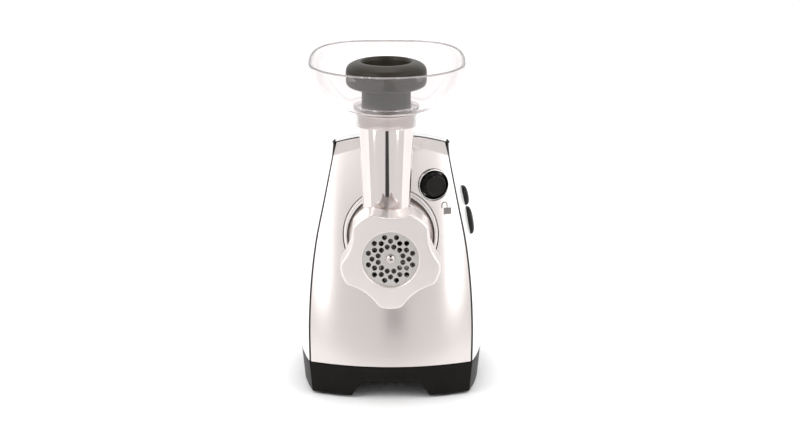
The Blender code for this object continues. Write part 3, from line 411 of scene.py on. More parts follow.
def dress(piece, finish, body, *nodes, slot=None, crease=32, painted_seam_shade=None):
    """Shade a piece, give it its finish and let it ride in place of its CAD nodes."""
    mesh = piece.data
    # A second finish for the inner faces and rims: the painted shade of the shells.
    if painted_seam_shade:
        mesh.materials[0], mesh.materials[1] = finish.material, painted_seam_shade.material
    else:
        mesh.materials.clear()
        mesh.materials.append(finish.material)
    shape = bmesh.new()
    shape.from_mesh(mesh)
    for face in shape.faces:
        face.smooth = True
        face.material_index = face.material_index if painted_seam_shade else 0
    for edge in shape.edges:
        edge.smooth = edge.is_manifold and edge.calc_face_angle(0.0) < math.radians(crease)
    shape.to_mesh(mesh)
    shape.free()
    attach(piece, body)
    if nodes:
        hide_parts(*nodes)
    return piece


def finish_nodes(finish, *nodes):
    """Give CAD nodes that are shown as they are a full finish."""
    for node in nodes:
        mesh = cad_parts[node].data
        mesh.materials.clear()
        mesh.materials.append(finish.material)


base_black = Finish("moulded black", Specular_IOR_Level=0.05)
base_speckle = base_black.grain(2600.0)
base_cloud = base_black.grain(60.0)
base_black.feed("Base Color", base_black.shades(base_cloud, (0.0075, 0.0068, 0.006), (0.012, 0.011, 0.010)))
base_black.feed("Roughness", 0.32 + 0.16 * base_speckle)
base_black.bump(base_speckle, 0.05 * MM, 0.35)

base_rings = []
for z, inset in ((2, 1.6), (2.4, 0.6), (3.4, 0.0), (17, 0.0), (31.6, 0.0), (32.4, 0.25), (32.7, 0.9)):
    taper = mix(BASE_TAPER, 1.0, (z * MM - BASE_LOW_Z) / (BASE_TOP_Z - BASE_LOW_Z))
    ring = plan_outline(BASE_TOP_Z, inset * MM, taper)
    base_rings.append([(point.x, point.y, z * MM) for point in ring])
base = ringed("base_tray_shell", base_rings)
inner = plan_outline(BASE_TOP_Z, BASE_WALL, BASE_TAPER)
hollows = []
for name, low, high in (("top", BASE_FLOOR[1], BASE_TOP_Z + 5 * MM), ("under", -5 * MM, BASE_FLOOR[0])):
    hollows.append(ringed(f"hollow_{name}",
                          [[(point.x, point.y, z) for point in inner] for z in (low, high)]))
ARCH_HALF = ((38, -9), (38, 1.5), (34, 9), (29, 15.2), (22, 17.3))
arch_outline = in_metres(ARCH_HALF) + in_metres((-x, z) for x, z in reversed(ARCH_HALF))
arches = ringed("hollow_arches", [[(x, y, z) for x, z in arch_outline] for y in (-0.2, 0.2)])
carve(base, *hollows, arches)
for foot, spot in FOOT_SPOTS.items():
    post = ringed(f"post_{foot}", [circle(POST_R, z, 32, spot)
                                   for z in (FOOT_HEIGHT + 0.3 * MM, BASE_FLOOR[0] + 1 * MM)])
    carve(base, post, operation="UNION")
dress(base, base_black, "root", "base_tray", slot="black_base", crease=40)


def turned(name, profile, at=(0, 0, 0), along=UP, steps=96):
    """A turned piece from (radius, height) points, closed on its axis or round a bore."""
    solid = profile[0][0] == 0
    rings = [circle(radius, height, steps) for radius, height in profile if radius]
    return ringed(name, rings, at, along, ends=solid, joined=not solid)


def eased(profile, reach, steps=5):
    """The same profile with each corner rounded over a short reach."""
    soft = []
    for i, (x, z) in enumerate(profile):
        here = Vector((x, z))
        before, after = Vector(profile[i - 1]), Vector(profile[(i + 1) % len(profile)])
        if x == 0:
            soft.append((x, z))
            continue
        start = here + (before - here).normalized() * min(reach, (before - here).length * 0.45)
        end = here + (after - here).normalized() * min(reach, (after - here).length * 0.45)
        for k in range(steps + 1):
            t = k / steps
            point = start * (1 - t)**2 + here * 2 * t * (1 - t) + end * t**2
            soft.append((point.x, point.y))
    return soft


rubber = Finish("soft rubber", 0.75)
rubber.feed("Base Color", rubber.shades(rubber.grain(900.0), (0.028, 0.027, 0.026), (0.045, 0.043, 0.042)))
rubber.bump(rubber.grain(2200.0), 0.08 * MM, 0.4)
FOOT_PROFILE = ((0, 3.6), (7.6, 3.6), (9, 2.8), (9, 0.7), (8.3, 0), (0, 0))
for foot, spot in FOOT_SPOTS.items():
    pad = turned(f"rubber_foot_{foot}", eased(in_metres(FOOT_PROFILE), 0.7 * MM), (*spot, 0), steps=48)
    dress(pad, rubber, "root", f"foot_{foot}", slot="rubber_foot")


# Front panel ---------------------------------------------------------------------------
# One sheet of stainless steel, rolled across and folded back over the crease at its top.
# It is satin brushed side to side, and holed for the socket and for the button's dish.

FRONT = Vector((0.0, -1.0, 0.0))
PANEL_SKIN = 1.2 * MM
PANEL_SHARE = 0.981                        # of the way to the corners
PANEL_LOW_Z = BASE_TOP_Z + 0.4 * MM
CREST_CORNER_Z = 232.5 * MM
CREST_ARCH = 12.5 * MM
BAND_END_Y = -21 * MM
REAR_TOP_Z = 196 * MM
FOLD_ROWS = 40                             # rows up to the crease, then the band above
BAND_ROWS = 10
BARREL_Z = 160 * MM
SOCKET_R = 45.2 * MM
SOCKET_GAP = 0.9 * MM
DISH_R = 14.8 * MM
DISH_GAP = 0.4 * MM
DISH_SPOT = Vector((41, -45.9, 207.1)) * MM
BUTTON_TILT = math.radians(16)
BUTTON_AXIS = Vector((math.sin(BUTTON_TILT), -math.cos(BUTTON_TILT), 0.0))


def crest_z(across):
    """Height of the crease at the top of the front panel, across from -1 to 1."""
    return CREST_CORNER_Z + CREST_ARCH * (1 - across**2)


def front_point(across, z):
    x = across * corner_x(z)
    return Vector((x, panel_y(x, z), z))


def side_point(along, rise, hand):
    """A point of a side shell: along from the front, rise from the base tray."""
    z = BASE_TOP_Z
    for _ in range(6):
        y = mix(corner_y(z), rear_corner_y(z), along)
        z = mix(BASE_TOP_Z, smooth_through(ROOF_EDGE_Z, y), rise)
    return Vector((hand * side_x(y, z), y, z))


def roof_point(across, back):
    """A point of the roof, back from 0 at the steel band to 1 at the rear."""
    y = mix(BAND_END_Y, rear_corner_y(REAR_TOP_Z), back)
    z = smooth_through(ROOF_EDGE_Z, y)
    sweep = mix(-4 * MM, REAR_BULGE, back)
    rise = 1 - across**2
    return Vector((across * side_x(y, z), y + sweep * rise, z + ROOF_ARCH * rise))


def rear_point(across, rise):
    z = mix(BASE_TOP_Z, REAR_TOP_Z, rise)
    y = rear_corner_y(z)
    swell = 1 - across**2
    return Vector((across * side_x(y, z), y + REAR_BULGE * swell, z + ROOF_ARCH * swell * rise))


def skin(name, surface, columns, rows, thickness, ease=0.5 * MM, closed=False):
    """A sheet whose outer face is surface(u, t), with softened rims."""
    def build(shape):
        grid = []
        for i in range(columns if closed else columns + 1):
            grid.append([shape.verts.new(surface(i / columns, j / rows)) for j in range(rows + 1)])
        for i in range(columns):
            left, right = grid[i], grid[(i + 1) % len(grid)]
            for j in range(rows):
                shape.faces.new((left[j], right[j], right[j + 1], left[j + 1]))

    sheet = piece_from(name, build)
    outward = surface(0.5, 0.5) - surface(0.5, 0.5).lerp(Vector((0, MIDDLE_Y, 120 * MM)), 0.1)
    middle_face = sheet.data.polygons[len(sheet.data.polygons) // 2]
    for _ in range(2):
        sheet.data.materials.append(None)
    thick = sheet.modifiers.new("thick", "SOLIDIFY")
    thick.thickness = thickness
    thick.offset = -1.0 if closed or middle_face.normal.dot(outward) > 0 else 1.0
    # The inner faces and rims go to a second material, which on the shells is painted shade.
    thick.material_offset = 1
    thick.material_offset_rim = 1
    settle(sheet)
    if ease:
        ease_edges(sheet, ease)
    return sheet


def panel_surface(u, t):
    across = mix(-PANEL_SHARE, PANEL_SHARE, u)
    row = t * (FOLD_ROWS + BAND_ROWS)
    if row <= FOLD_ROWS:
        return front_point(across, mix(PANEL_LOW_Z, crest_z(across), row / FOLD_ROWS))
    crest = front_point(across, crest_z(across))
    band_edge = roof_point(0.962 * across, 0.0)
    return crest.lerp(band_edge, (row - FOLD_ROWS) / BAND_ROWS * 0.96)


def cylinder(name, radius, length, at, along, sides=96):
    """A plain round solid to cut with, from a place along a direction."""
    return ringed(name, [circle(radius, height, sides) for height in (0.0, length)], at, along)


def on_barrel_axis(y):
    return Vector((0.0, y, BARREL_Z))


steel = Finish("satin steel", metallic=1.0)
brushing = steel.grain(60.0, (0.6, 1.0, 42.0), 5.0)
steel_patch = steel.grain(14.0)
steel.feed("Base Color", steel.shades(steel_patch, (0.635, 0.587, 0.57), (0.675, 0.627, 0.61)))
steel.feed("Roughness", 0.17 + 0.08 * brushing + 0.03 * steel_patch)
steel.bump(brushing, 0.02 * MM, 0.25)

panel = skin("front_panel_skin", panel_surface, 64, FOLD_ROWS + BAND_ROWS, PANEL_SKIN, 0.35 * MM)
carve(panel, cylinder("socket_hole", SOCKET_R + SOCKET_GAP, 60 * MM, on_barrel_axis(-30 * MM), FRONT, 128),
      cylinder("dish_hole", DISH_R + DISH_GAP, 40 * MM, DISH_SPOT - BUTTON_AXIS * 20 * MM, BUTTON_AXIS))
dress(panel, steel, "root", "front_panel", slot="steel_panel", crease=20)


# Side shells and top cover -------------------------------------------------------------
# Three glossy white mouldings with softened edges, meeting in fine dark seams, whose dark is
# painted shade on the rims and insides. The right shell has two oval openings for the push
# buttons.

SHELL_SKIN = 2.2 * MM
SHELL_GRID = (44, 40)                      # columns, rows
SEAM_SHARE = 1.0 / 150
BUTTON_GAP = 0.5 * MM
SIDE_BUTTON_Y = 4 * MM
SIDE_BUTTONS = {                           # middle height, half height, half width, body
    "reverse_button": (185 * MM, 10 * MM, 7.5 * MM, "reverse"),
    "power_button": (160 * MM, 14 * MM, 9 * MM, "power"),
}


def side_normal(y, z):
    """The right shell's outward direction at a depth and height."""
    step = 1 * MM
    along_y = Vector((side_x(y + step, z) - side_x(y - step, z), 2 * step, 0.0))
    along_z = Vector((side_x(y, z + step) - side_x(y, z - step), 0.0, 2 * step))
    return along_y.cross(along_z).normalized()


def oval_plug(name, half_width, half_height, layers, at, along):
    """An upright oval plug from (share of its size, height) layers."""
    rings = []
    for share, height in layers:
        rings.append([(share * half_width * math.cos(a), share * half_height * math.sin(a), height)
                      for a in (math.tau * i / 72 for i in range(72))])
    return ringed(name, rings, at, along)


white = Finish("gloss white", Coat_Weight=0.35, Coat_Roughness=0.06)
white_cloud = white.grain(11.0)
white.feed("Base Color", white.shades(white_cloud, (0.815, 0.810, 0.800), (0.835, 0.830, 0.820)))
white.feed("Roughness", 0.22 + 0.07 * white.grain(420.0))
white.bump(white.grain(85.0), 0.05 * MM, 0.12)


def side_surface(u, t, hand):
    along = mix(SEAM_SHARE, 1 - SEAM_SHARE, u if hand > 0 else 1 - u)
    return side_point(along, mix(0.002, 0.988, t), hand)


def roof_surface(u, t):
    return roof_point(mix(-0.966, 0.966, u), mix(0.012, 0.985, t))


def rear_surface(u, t):
    return rear_point(mix(0.975, -0.975, u), mix(0.002, 0.985, t))


# The near black finish on the shells' insides and rims is painted shade for the dark seams and the dark
# inside of the casing.
painted_seam_shade = Finish("shaded lining")
painted_seam_shade.feed("Base Color", painted_seam_shade.shades(painted_seam_shade.grain(60.0), (0.020, 0.020, 0.020), (0.032, 0.031, 0.030)))
painted_seam_shade.feed("Roughness", 0.6 + 0.2 * painted_seam_shade.grain(900.0))
left = skin("left_shell_skin", lambda u, t: side_surface(u, t, -1), *SHELL_GRID, SHELL_SKIN)
right = skin("right_shell_skin", lambda u, t: side_surface(u, t, 1), *SHELL_GRID, SHELL_SKIN)
for name, (z, half_height, half_width, _) in SIDE_BUTTONS.items():
    spot = Vector((side_x(SIDE_BUTTON_Y, z), SIDE_BUTTON_Y, z))
    outward = side_normal(SIDE_BUTTON_Y, z)
    hole = oval_plug(f"hole_{name}", half_width + BUTTON_GAP, half_height + BUTTON_GAP,
                     ((1.0, 0.0), (1.0, 20 * MM)), spot - outward * 10 * MM, outward)
    carve(right, hole)
roof = skin("top_cover_skin", roof_surface, *SHELL_GRID, SHELL_SKIN)
for shell, node in ((left, "left_shell"), (right, "right_shell"), (roof, "top_cover")):
    dress(shell, white, "root", node, slot="white_shell", painted_seam_shade=painted_seam_shade)


# Rear cover and cord inlet -------------------------------------------------------------
# A white moulding with a row of upright cooling slots, and the rubber grommet below them
# where a lead would enter.

REAR = Vector((0.0, 1.0, 0.0))
VENTS = 8
VENT_PITCH = 8.7 * MM
VENT_HALF = (1.7 * MM, 23 * MM)
VENT_MIDDLE_Z = 128.6 * MM
VENT_POINTS = 24
INLET_SPOT = (0.0, 149.9 * MM, 66 * MM)
INLET_HOLE_R = 7.4 * MM

rear = skin("rear_cover_skin", rear_surface, *SHELL_GRID, SHELL_SKIN)
for i in range(VENTS):
    x = VENT_PITCH * (i - (VENTS - 1) / 2) + 0.4 * MM
    half, tall = VENT_HALF
    slot_outline = []
    for k in range(VENT_POINTS):
        above = k < VENT_POINTS / 2
        angle = math.pi * (k if above else k - 0.5) / (VENT_POINTS / 2 - 0.5)
        lift = tall - half if above else half - tall
        slot_outline.append((x + half * math.cos(angle), VENT_MIDDLE_Z + lift + half * math.sin(angle)))
    vent = ringed(f"vent_{i}", [[(a, y, b) for a, b in slot_outline] for y in (110 * MM, 170 * MM)])
    carve(rear, vent)
carve(rear, cylinder("inlet_hole", INLET_HOLE_R, 60 * MM, (0, 110 * MM, INLET_SPOT[2]), REAR))
dress(rear, white, "root", "rear_cover", slot="white_shell", painted_seam_shade=painted_seam_shade)

INLET_PROFILE = ((9.5, 0), (9.5, -1.2), (7, -1.2), (7, -7), (4, -7), (4, 0))
inlet = turned("cord_grommet", eased(in_metres(INLET_PROFILE), 0.4 * MM), INLET_SPOT, REAR, 64)
dress(inlet, rubber, "root", "cord_inlet", slot="rubber_foot")


# Head socket ---------------------------------------------------------------------------
# The grey moulded well that the mincing head turns into. Its rim follows the curve of the
# steel, with a fine dark gap round it, and a hole in its floor lets the lock bolt through.

BOLT_SPOT = Vector((23 * MM, 0.0, 186 * MM))
BOLT_HOLE_R = 5 * MM
SOCKET_WALLS = (                           # radius, and depth or inset from the steel
    (15.5, -42.0), (15.5, -46.4), (40.9, -46.4), (42.2, -60.0), (42.8, "1.2"), (43.2, "0.6"),
    (43.7, "0.5"), (44.5, "0.5"), (45.0, "0.7"), (45.2, "1.3"), (45.2, -42.0),
)
socket_rings = []
for radius, depth in SOCKET_WALLS:
    ring = []
    for i in range(128):
        angle = math.tau * i / 128
        x, z = radius * MM * math.cos(angle), BARREL_Z + radius * MM * math.sin(angle)
        y = panel_y(x, z) + float(depth) * MM if isinstance(depth, str) else depth * MM
        ring.append((x, y, z))
    socket_rings.append(ring)
grey = Finish("moulded grey")
grey_speckle = grey.grain(2400.0)
grey.feed("Base Color", grey.shades(grey.grain(40.0), (0.70, 0.66, 0.645), (0.75, 0.71, 0.695)))
grey.feed("Roughness", 0.38 + 0.14 * grey_speckle)
grey.bump(grey_speckle, 0.04 * MM, 0.3)
socket = ringed("head_socket_well", socket_rings, ends=False, joined=True)
carve(socket, cylinder("bolt_hole", BOLT_HOLE_R, 12 * MM, (BOLT_SPOT.x, -50 * MM, BOLT_SPOT.z), REAR, 48))
dress(socket, grey, "root", "head_socket", slot="grey_socket")


# Release button, dish and lock bolt ----------------------------------------------------
# A domed black button in a bright turned dish. Behind the steel, a strip on its stem draws
# the lock bolt that keeps the mincing head from turning.

BUTTON_R = 12.1
BUTTON_PROUD = 8.0
trim = Finish("bright trim", metallic=1.0)
turning = trim.grain(3800.0, detail=2.0)
trim.feed("Base Color", trim.shades(trim.grain(300.0), (0.80, 0.79, 0.78), (0.88, 0.87, 0.86)))
trim.feed("Roughness", 0.10 + 0.10 * turning)
DISH_PROFILE = ((14.8, 1.2), (14.8, -8.4), (6.3, -8.4), (6.3, -7.2), (12.9, -7.2), (13.4, -1.5),
                (14.1, 1.2))
dish = turned("button_dish_ring", eased(in_metres(DISH_PROFILE), 0.35 * MM), DISH_SPOT, BUTTON_AXIS)
dress(dish, trim, "root", "button_dish", slot="button_trim")

gloss_black = Finish("gloss black", Specular_IOR_Level=0.08, Coat_Weight=0.05, Coat_Roughness=0.05)
gloss_cloud = gloss_black.grain(70.0)
gloss_black.feed("Base Color", gloss_black.shades(gloss_cloud, (0.010, 0.0095, 0.009),
                                                  (0.016, 0.015, 0.0145)))
gloss_black.feed("Roughness", 0.24 + 0.10 * gloss_black.grain(1500.0))
BUTTON_PROFILE = (
    (0, BUTTON_PROUD - 0.6), (4, BUTTON_PROUD - 0.62), (8.0, BUTTON_PROUD - 0.7), (8.8, BUTTON_PROUD - 0.5),
    (9.2, BUTTON_PROUD), (9.7, BUTTON_PROUD - 0.3), (9.9, BUTTON_PROUD - 1.0), (10.2, 2.6), (11.6, 1.5),
    (BUTTON_R, 0.5), (BUTTON_R, -1.6), (5.8, -1.6), (5.8, -9.2), (0, -9.2),
)
button = turned("release_button_cap", eased(in_metres(BUTTON_PROFILE), 0.4 * MM, 3), DISH_SPOT, BUTTON_AXIS)
dress(button, gloss_black, "release", "release_button", slot="black_button", crease=50)

bright_steel = Finish("bright steel", metallic=1.0)
bright_cloud = bright_steel.grain(120.0)
bright_steel.feed("Base Color", bright_steel.shades(bright_cloud, (0.60, 0.59, 0.58), (0.72, 0.71, 0.70)))
bright_steel.feed("Roughness", 0.22 + 0.14 * bright_steel.grain(1800.0))
finish_nodes(bright_steel, "lock_bolt", "motor_shaft")


# Lock mark -----------------------------------------------------------------------------
# A small open padlock printed in grey on the steel under the release button, a film of ink
# a few hundredths of a millimetre thick.

MARK_MIDDLE = (54.3 * MM, 184.3 * MM)
MARK_BODY_X = 3.6
MARK_BODY_Z = (-5.8, 0.4)
MARK_LIFT = 0.06 * MM
INK_FILM = 0.04 * MM
SHACKLE_R = 2.5
SHACKLE_WIDE = 1.0


def on_panel(x, z):
    """A point of the mark, laid on the steel."""
    x, z = MARK_MIDDLE[0] + x * MM, MARK_MIDDLE[1] + z * MM
    return Vector((x, panel_y(x, z) - MARK_LIFT, z))


def printed(name, near_edge, far_edge):
    """A film of ink between two lines of points."""
    def build(shape):
        rows = []
        for near, far in zip(near_edge, far_edge):
            rows.append([shape.verts.new(on_panel(mix(near[0], far[0], k / 4), mix(near[1], far[1], k / 4)))
                         for k in range(5)])
        for low, high in zip(rows, rows[1:]):
            for k in range(4):
                shape.faces.new((low[k], low[k + 1], high[k + 1], high[k]))

    film = piece_from(name, build)
    thick = film.modifiers.new("thick", "SOLIDIFY")
    thick.thickness = INK_FILM
    thick.offset = 0.0
    return settle(film)


ink = Finish("grey ink")
ink.feed("Base Color", ink.shades(ink.grain(1500.0), (0.15, 0.135, 0.13), (0.20, 0.18, 0.175)))
ink.feed("Roughness", 0.5 + 0.2 * ink.grain(2600.0))
body_heights = [mix(*MARK_BODY_Z, k / 6) for k in range(7)]
mark_body = printed("lock_mark_body", [(-MARK_BODY_X, z) for z in body_heights],
                    [(MARK_BODY_X, z) for z in body_heights])
shackle_line = [(-5.4, 0.4), (-5.4, 2.0)]
shackle_line += [(-2.9 - SHACKLE_R * math.cos(a), 3.2 + SHACKLE_R * math.sin(a))
                 for a in (math.pi * k / 14 for k in range(15))]
shackle_line += [(-0.4, 2.0), (-0.4, 0.4)]
outer_line, inner_line = [], []
for i, (x, z) in enumerate(shackle_line):
    before, after = shackle_line[max(i - 1, 0)], shackle_line[min(i + 1, len(shackle_line) - 1)]
    run = Vector((after[0] - before[0], after[1] - before[1])).normalized() * SHACKLE_WIDE / 2
    outer_line.append((x - run.y, z + run.x))
    inner_line.append((x + run.y, z - run.x))
mark_shackle = printed("lock_mark_shackle", inner_line, outer_line)
for mark in (mark_body, mark_shackle):
    dress(mark, ink, "root")


# Push buttons on the side --------------------------------------------------------------
# Reverse above and power below: glossy black ovals with a soft dome, standing proud of the
# right shell, each over its switch.

BUTTON_OUT = 4.5 * MM
BUTTON_IN = 6 * MM
BUTTON_EDGE = 0.6 * MM
DOME_STEPS = 14
for name, (z, half_height, half_width, body) in SIDE_BUTTONS.items():
    spot = Vector((side_x(SIDE_BUTTON_Y, z), SIDE_BUTTON_Y, z))
    outward = side_normal(SIDE_BUTTON_Y, z)
    dome = [(1.0, 0.0), (1.0, BUTTON_IN + BUTTON_EDGE)]
    for k in range(1, DOME_STEPS):
        angle = math.pi / 2 * k / DOME_STEPS
        height = BUTTON_IN + BUTTON_EDGE + (BUTTON_OUT - BUTTON_EDGE) * math.sin(angle)
        dome.append((math.cos(angle) ** 0.62, height))
    plug = oval_plug(f"{name}_cap", half_width, half_height, dome, spot - outward * BUTTON_IN, outward)
    dress(plug, gloss_black, body, name, slot="black_button", crease=50)

switch_black = Finish("switch black")
switch_cloud = switch_black.grain(200.0)
switch_black.feed("Base Color", switch_black.shades(switch_cloud, (0.015, 0.015, 0.015),
                                                    (0.03, 0.03, 0.03)))
switch_black.feed("Roughness", 0.4 + 0.2 * switch_black.grain(1200.0))
finish_nodes(switch_black, "reverse_switch", "power_switch", "brush_left", "brush_right")


# Head casting --------------------------------------------------------------------------
# Barrel, feed tube and bayonet flange in one polished aluminium casting. The tube runs
# into the barrel through a fillet, and the bores are cut through both.

NUT_FACE_Y = -150 * MM
PLATE_FRONT = NUT_FACE_Y + 3.7 * MM
KNIFE_FRONT = PLATE_FRONT + 5.3 * MM
CHAMBER_REAR = -58 * MM
CHAMBER_R = 29.5 * MM
BARREL_R = 34 * MM
FLANGE_R = 40.3 * MM
TUBE_SPOT = Vector((-4 * MM, -90 * MM, 0.0))
TUBE_MOUTH_Z = 288 * MM
TUBE_FILLET = 6.5 * MM
TUBE_WALL = 2 * MM
TUBE_STEPS = 96
TUBE_LOW_Z = 168 * MM                      # inside the barrel
TUBE_WAIST_Z = 200 * MM
SEAT_R = 31.35 * MM
NECK_R = 13.2 * MM
NOTCH_R = 3.2 * MM


def tube_radius(z):
    """Outer radius of the feed tube, which narrows towards the barrel."""
    return mix(22.4 * MM, 26.2 * MM, (z - TUBE_WAIST_Z) / (TUBE_MOUTH_Z - TUBE_WAIST_Z))


def tube_ring(height_of, spread):
    """A ring of the tube: its height and the width of its fillet vary round it."""
    ring = []
    for i in range(TUBE_STEPS):
        angle = math.tau * i / TUBE_STEPS
        reach = 0.35 + 0.65 * abs(math.sin(angle))
        radius = tube_radius(TUBE_WAIST_Z) + spread * reach
        z = height_of(TUBE_SPOT.x + radius * math.cos(angle), reach)
        radius = tube_radius(z) + spread * reach
        ring.append((TUBE_SPOT.x + radius * math.cos(angle), TUBE_SPOT.y + radius * math.sin(angle), z))
    return ring


def barrel_top(x):
    return BARREL_Z + math.sqrt(max(BARREL_R**2 - x * x, 0.0))


polished = Finish("polished aluminium", metallic=1.0)
polish_streak = polished.grain(50.0, (24.0, 24.0, 1.0), 4.0)
polish_cloud = polished.grain(30.0)
polished.feed("Base Color", polished.shades(polish_cloud, (0.70, 0.645, 0.625), (0.75, 0.695, 0.675)))
polished.feed("Roughness", 0.03 + 0.07 * polish_streak)
polished.bump(polish_streak, 0.01 * MM, 0.2)

tube_rings = [tube_ring(lambda x, reach: TUBE_LOW_Z, 0.0)]
for k in range(9):
    turn = math.pi / 2 * k / 8
    spread = TUBE_FILLET * (1 - math.sin(turn))
    tube_rings.append(tube_ring(
        lambda x, reach: barrel_top(x) - 0.25 * MM + TUBE_FILLET * reach * (1 - math.cos(turn)), spread))
for k in range(1, 9):
    tube_rings.append(tube_ring(lambda x, reach: mix(203 * MM, TUBE_MOUTH_Z - 0.7 * MM, k / 8), 0.0))
tube_rings.append(tube_ring(lambda x, reach: TUBE_MOUTH_Z - 0.2 * MM, -0.15 * MM))
tube_rings.append(tube_ring(lambda x, reach: TUBE_MOUTH_Z, -0.6 * MM))
tube = ringed("add_tube", tube_rings)

rim_y = PLATE_FRONT + 2.4 * MM
barrel_profile = [
    (0, 47.2), (29.4, 47.2), (30, 47.8), (30, 52), (39.6, 52), (FLANGE_R / MM, 52.7),
    (FLANGE_R / MM, 57.3), (39.6, 58), (36, 58), (34.6, 58.6), (34, 60),
    (34, -rim_y / MM - 0.6), (33.4, -rim_y / MM), (0, -rim_y / MM),
]
casting = turned("head_casting_body", in_metres(barrel_profile), on_barrel_axis(0.0), FRONT, 128)
carve(casting, tube, operation="UNION")
bore_rings = [circle(tube_radius(z) - TUBE_WALL, z, TUBE_STEPS, TUBE_SPOT)
              for z in (TUBE_LOW_Z, TUBE_MOUTH_Z + 5 * MM)]
notch_spot = Vector((BOLT_SPOT.x, CHAMBER_REAR + 6.5 * MM, BOLT_SPOT.z))
carve(casting,
      cylinder("cut_chamber", CHAMBER_R, 100 * MM, on_barrel_axis(CHAMBER_REAR), FRONT, 96),
      cylinder("cut_plate_seat", SEAT_R, 30 * MM, on_barrel_axis(KNIFE_FRONT + 3.5 * MM), FRONT, 96),
      cylinder("cut_neck", NECK_R, 40 * MM, on_barrel_axis(-70 * MM), REAR, 64),
      ringed("cut_tube_bore", bore_rings),
      cylinder("cut_bolt_notch", NOTCH_R, 4 * MM, notch_spot, FRONT, 32))
dress(casting, polished, "head", "head_casting", slot="head_aluminium", crease=30)


# Feed worm and thrust washer -----------------------------------------------------------
# A cast aluminium screw, its square for the knife, and the pin that carries the cutting
# plate's middle. The pin's end is domed and polished, as a turned end is.

cast = Finish("cast aluminium", metallic=1.0)
cast_pits = cast.grain(900.0, detail=6.0)
cast.feed("Base Color", cast.shades(cast_pits, (0.60, 0.585, 0.575), (0.72, 0.705, 0.695)))
cast.feed("Roughness", 0.32 + 0.16 * cast_pits)
cast.bump(cast_pits, 0.12 * MM, 0.45)
finish_nodes(cast, "feed_worm")

pin_profile = [(0, 6.1), (2.2, 5.95), (3.3, 5.65), (3.9, 5.25), (4.06, 4.9), (4.06, 4.6), (0, 4.6)]
pin_end = turned("worm_pin_end", in_metres(pin_profile), on_barrel_axis(NUT_FACE_Y + 6.5 * MM), FRONT, 64)
dress(pin_end, polished, "worm_drive", crease=60)

nylon = Finish("moulded nylon")
nylon_cloud = nylon.grain(130.0)
nylon.feed("Base Color", nylon.shades(nylon_cloud, (0.70, 0.66, 0.56), (0.80, 0.77, 0.68)))
nylon.feed("Roughness", 0.42 + 0.12 * nylon.grain(1500.0))
nylon.bump(nylon_cloud, 0.05 * MM, 0.3)
finish_nodes(nylon, "worm_coupling", "thrust_washer", "output_gear", "idler_gear", "output_bush")


# Cutting knife and plate ---------------------------------------------------------------
# A four-bladed knife on the worm's square sweeps the back of a hardened plate with three
# rings of twelve round holes. The plate is ground flat, and its holes are lightly chamfered.

PLATE_R = 31.0
PLATE_THICK = 5.0
PLATE_EASE = 0.22
PLATE_BORE_R = 4.3
HOLE_R = 2.45
HOLE_RINGS = ((21.2, 15), (17.1, 0), (11.9, 15))
HOLES_PER_RING = 12

ground = Finish("ground steel", metallic=1.0)
ground_lines = ground.grain(160.0, (26.0, 1.0, 2.0), 5.0)
ground.feed("Base Color", ground.shades(ground.grain(90.0), (0.74, 0.705, 0.68), (0.80, 0.765, 0.74)))
ground.feed("Roughness", 0.26 + 0.12 * ground_lines)
ground.bump(ground_lines, 0.015 * MM, 0.25)

# The knife's very dark colour is painted shade for the dark chamber behind the plate; the steel itself is
# bright.
painted_shade_knife = Finish("hardened steel", metallic=1.0)
painted_shade_knife_cloud = painted_shade_knife.grain(260.0)
painted_shade_knife.feed("Base Color", painted_shade_knife.shades(painted_shade_knife_cloud, (0.045, 0.043, 0.042), (0.16, 0.155, 0.15)))
painted_shade_knife.feed("Roughness", 0.30 + 0.15 * painted_shade_knife.grain(900.0))
finish_nodes(painted_shade_knife, "cutting_knife")


def round_outline(radius, sides, centre=(0.0, 0.0)):
    return [(centre[0] + radius * math.cos(a), centre[1] + radius * math.sin(a))
            for a in (math.tau * i / sides for i in range(sides))]


def stamped(name, outlines, thickness, ease, at, along):
    """A flat blank with holes, from outlines in millimetres, its edges chamfered."""
    curve = bpy.data.curves.new(name, "CURVE")
    curve.dimensions = "2D"
    curve.fill_mode = "BOTH"
    curve.extrude = (thickness / 2 - ease) * MM
    curve.bevel_depth = ease * MM
    curve.bevel_resolution = 1
    curve.offset = -ease * MM
    for outline in outlines:
        line = curve.splines.new("POLY")
        line.points.add(len(outline) - 1)
        for point, (x, y) in zip(line.points, outline):
            point.co = (x * MM, y * MM, 0.0, 1.0)
        line.use_cyclic_u = True
    flat = bpy.data.objects.new(name, curve)
    bpy.context.collection.objects.link(flat)
    seen = flat.evaluated_get(bpy.context.evaluated_depsgraph_get())
    mesh = bpy.data.meshes.new_from_object(seen)
    bpy.data.objects.remove(flat)

    def build(shape):
        shape.from_mesh(mesh)
        bmesh.ops.remove_doubles(shape, verts=shape.verts, dist=0.001 * MM)

    return piece_from(name, build, at, along)


plate_outlines = [round_outline(PLATE_R, 120), round_outline(PLATE_BORE_R, 40)]
for ring_r, first in HOLE_RINGS:
    for i in range(HOLES_PER_RING):
        angle = math.radians(first) + math.tau * i / HOLES_PER_RING
        hole_spot = (ring_r * math.cos(angle), ring_r * math.sin(angle))
        plate_outlines.append(round_outline(HOLE_R, 28, hole_spot))
plate = stamped("cutting_plate_disc", plate_outlines, PLATE_THICK, PLATE_EASE,
                on_barrel_axis(PLATE_FRONT + PLATE_THICK / 2 * MM), FRONT)
dress(plate, ground, "plate", "cutting_plate", slot="cutter_steel", crease=18)


# Ring nut ------------------------------------------------------------------------------
# A cast and polished ring with five lobes for the hand. It screws onto the barrel, and its
# inner lip holds the cutting plate. The front edge is chamfered all round.

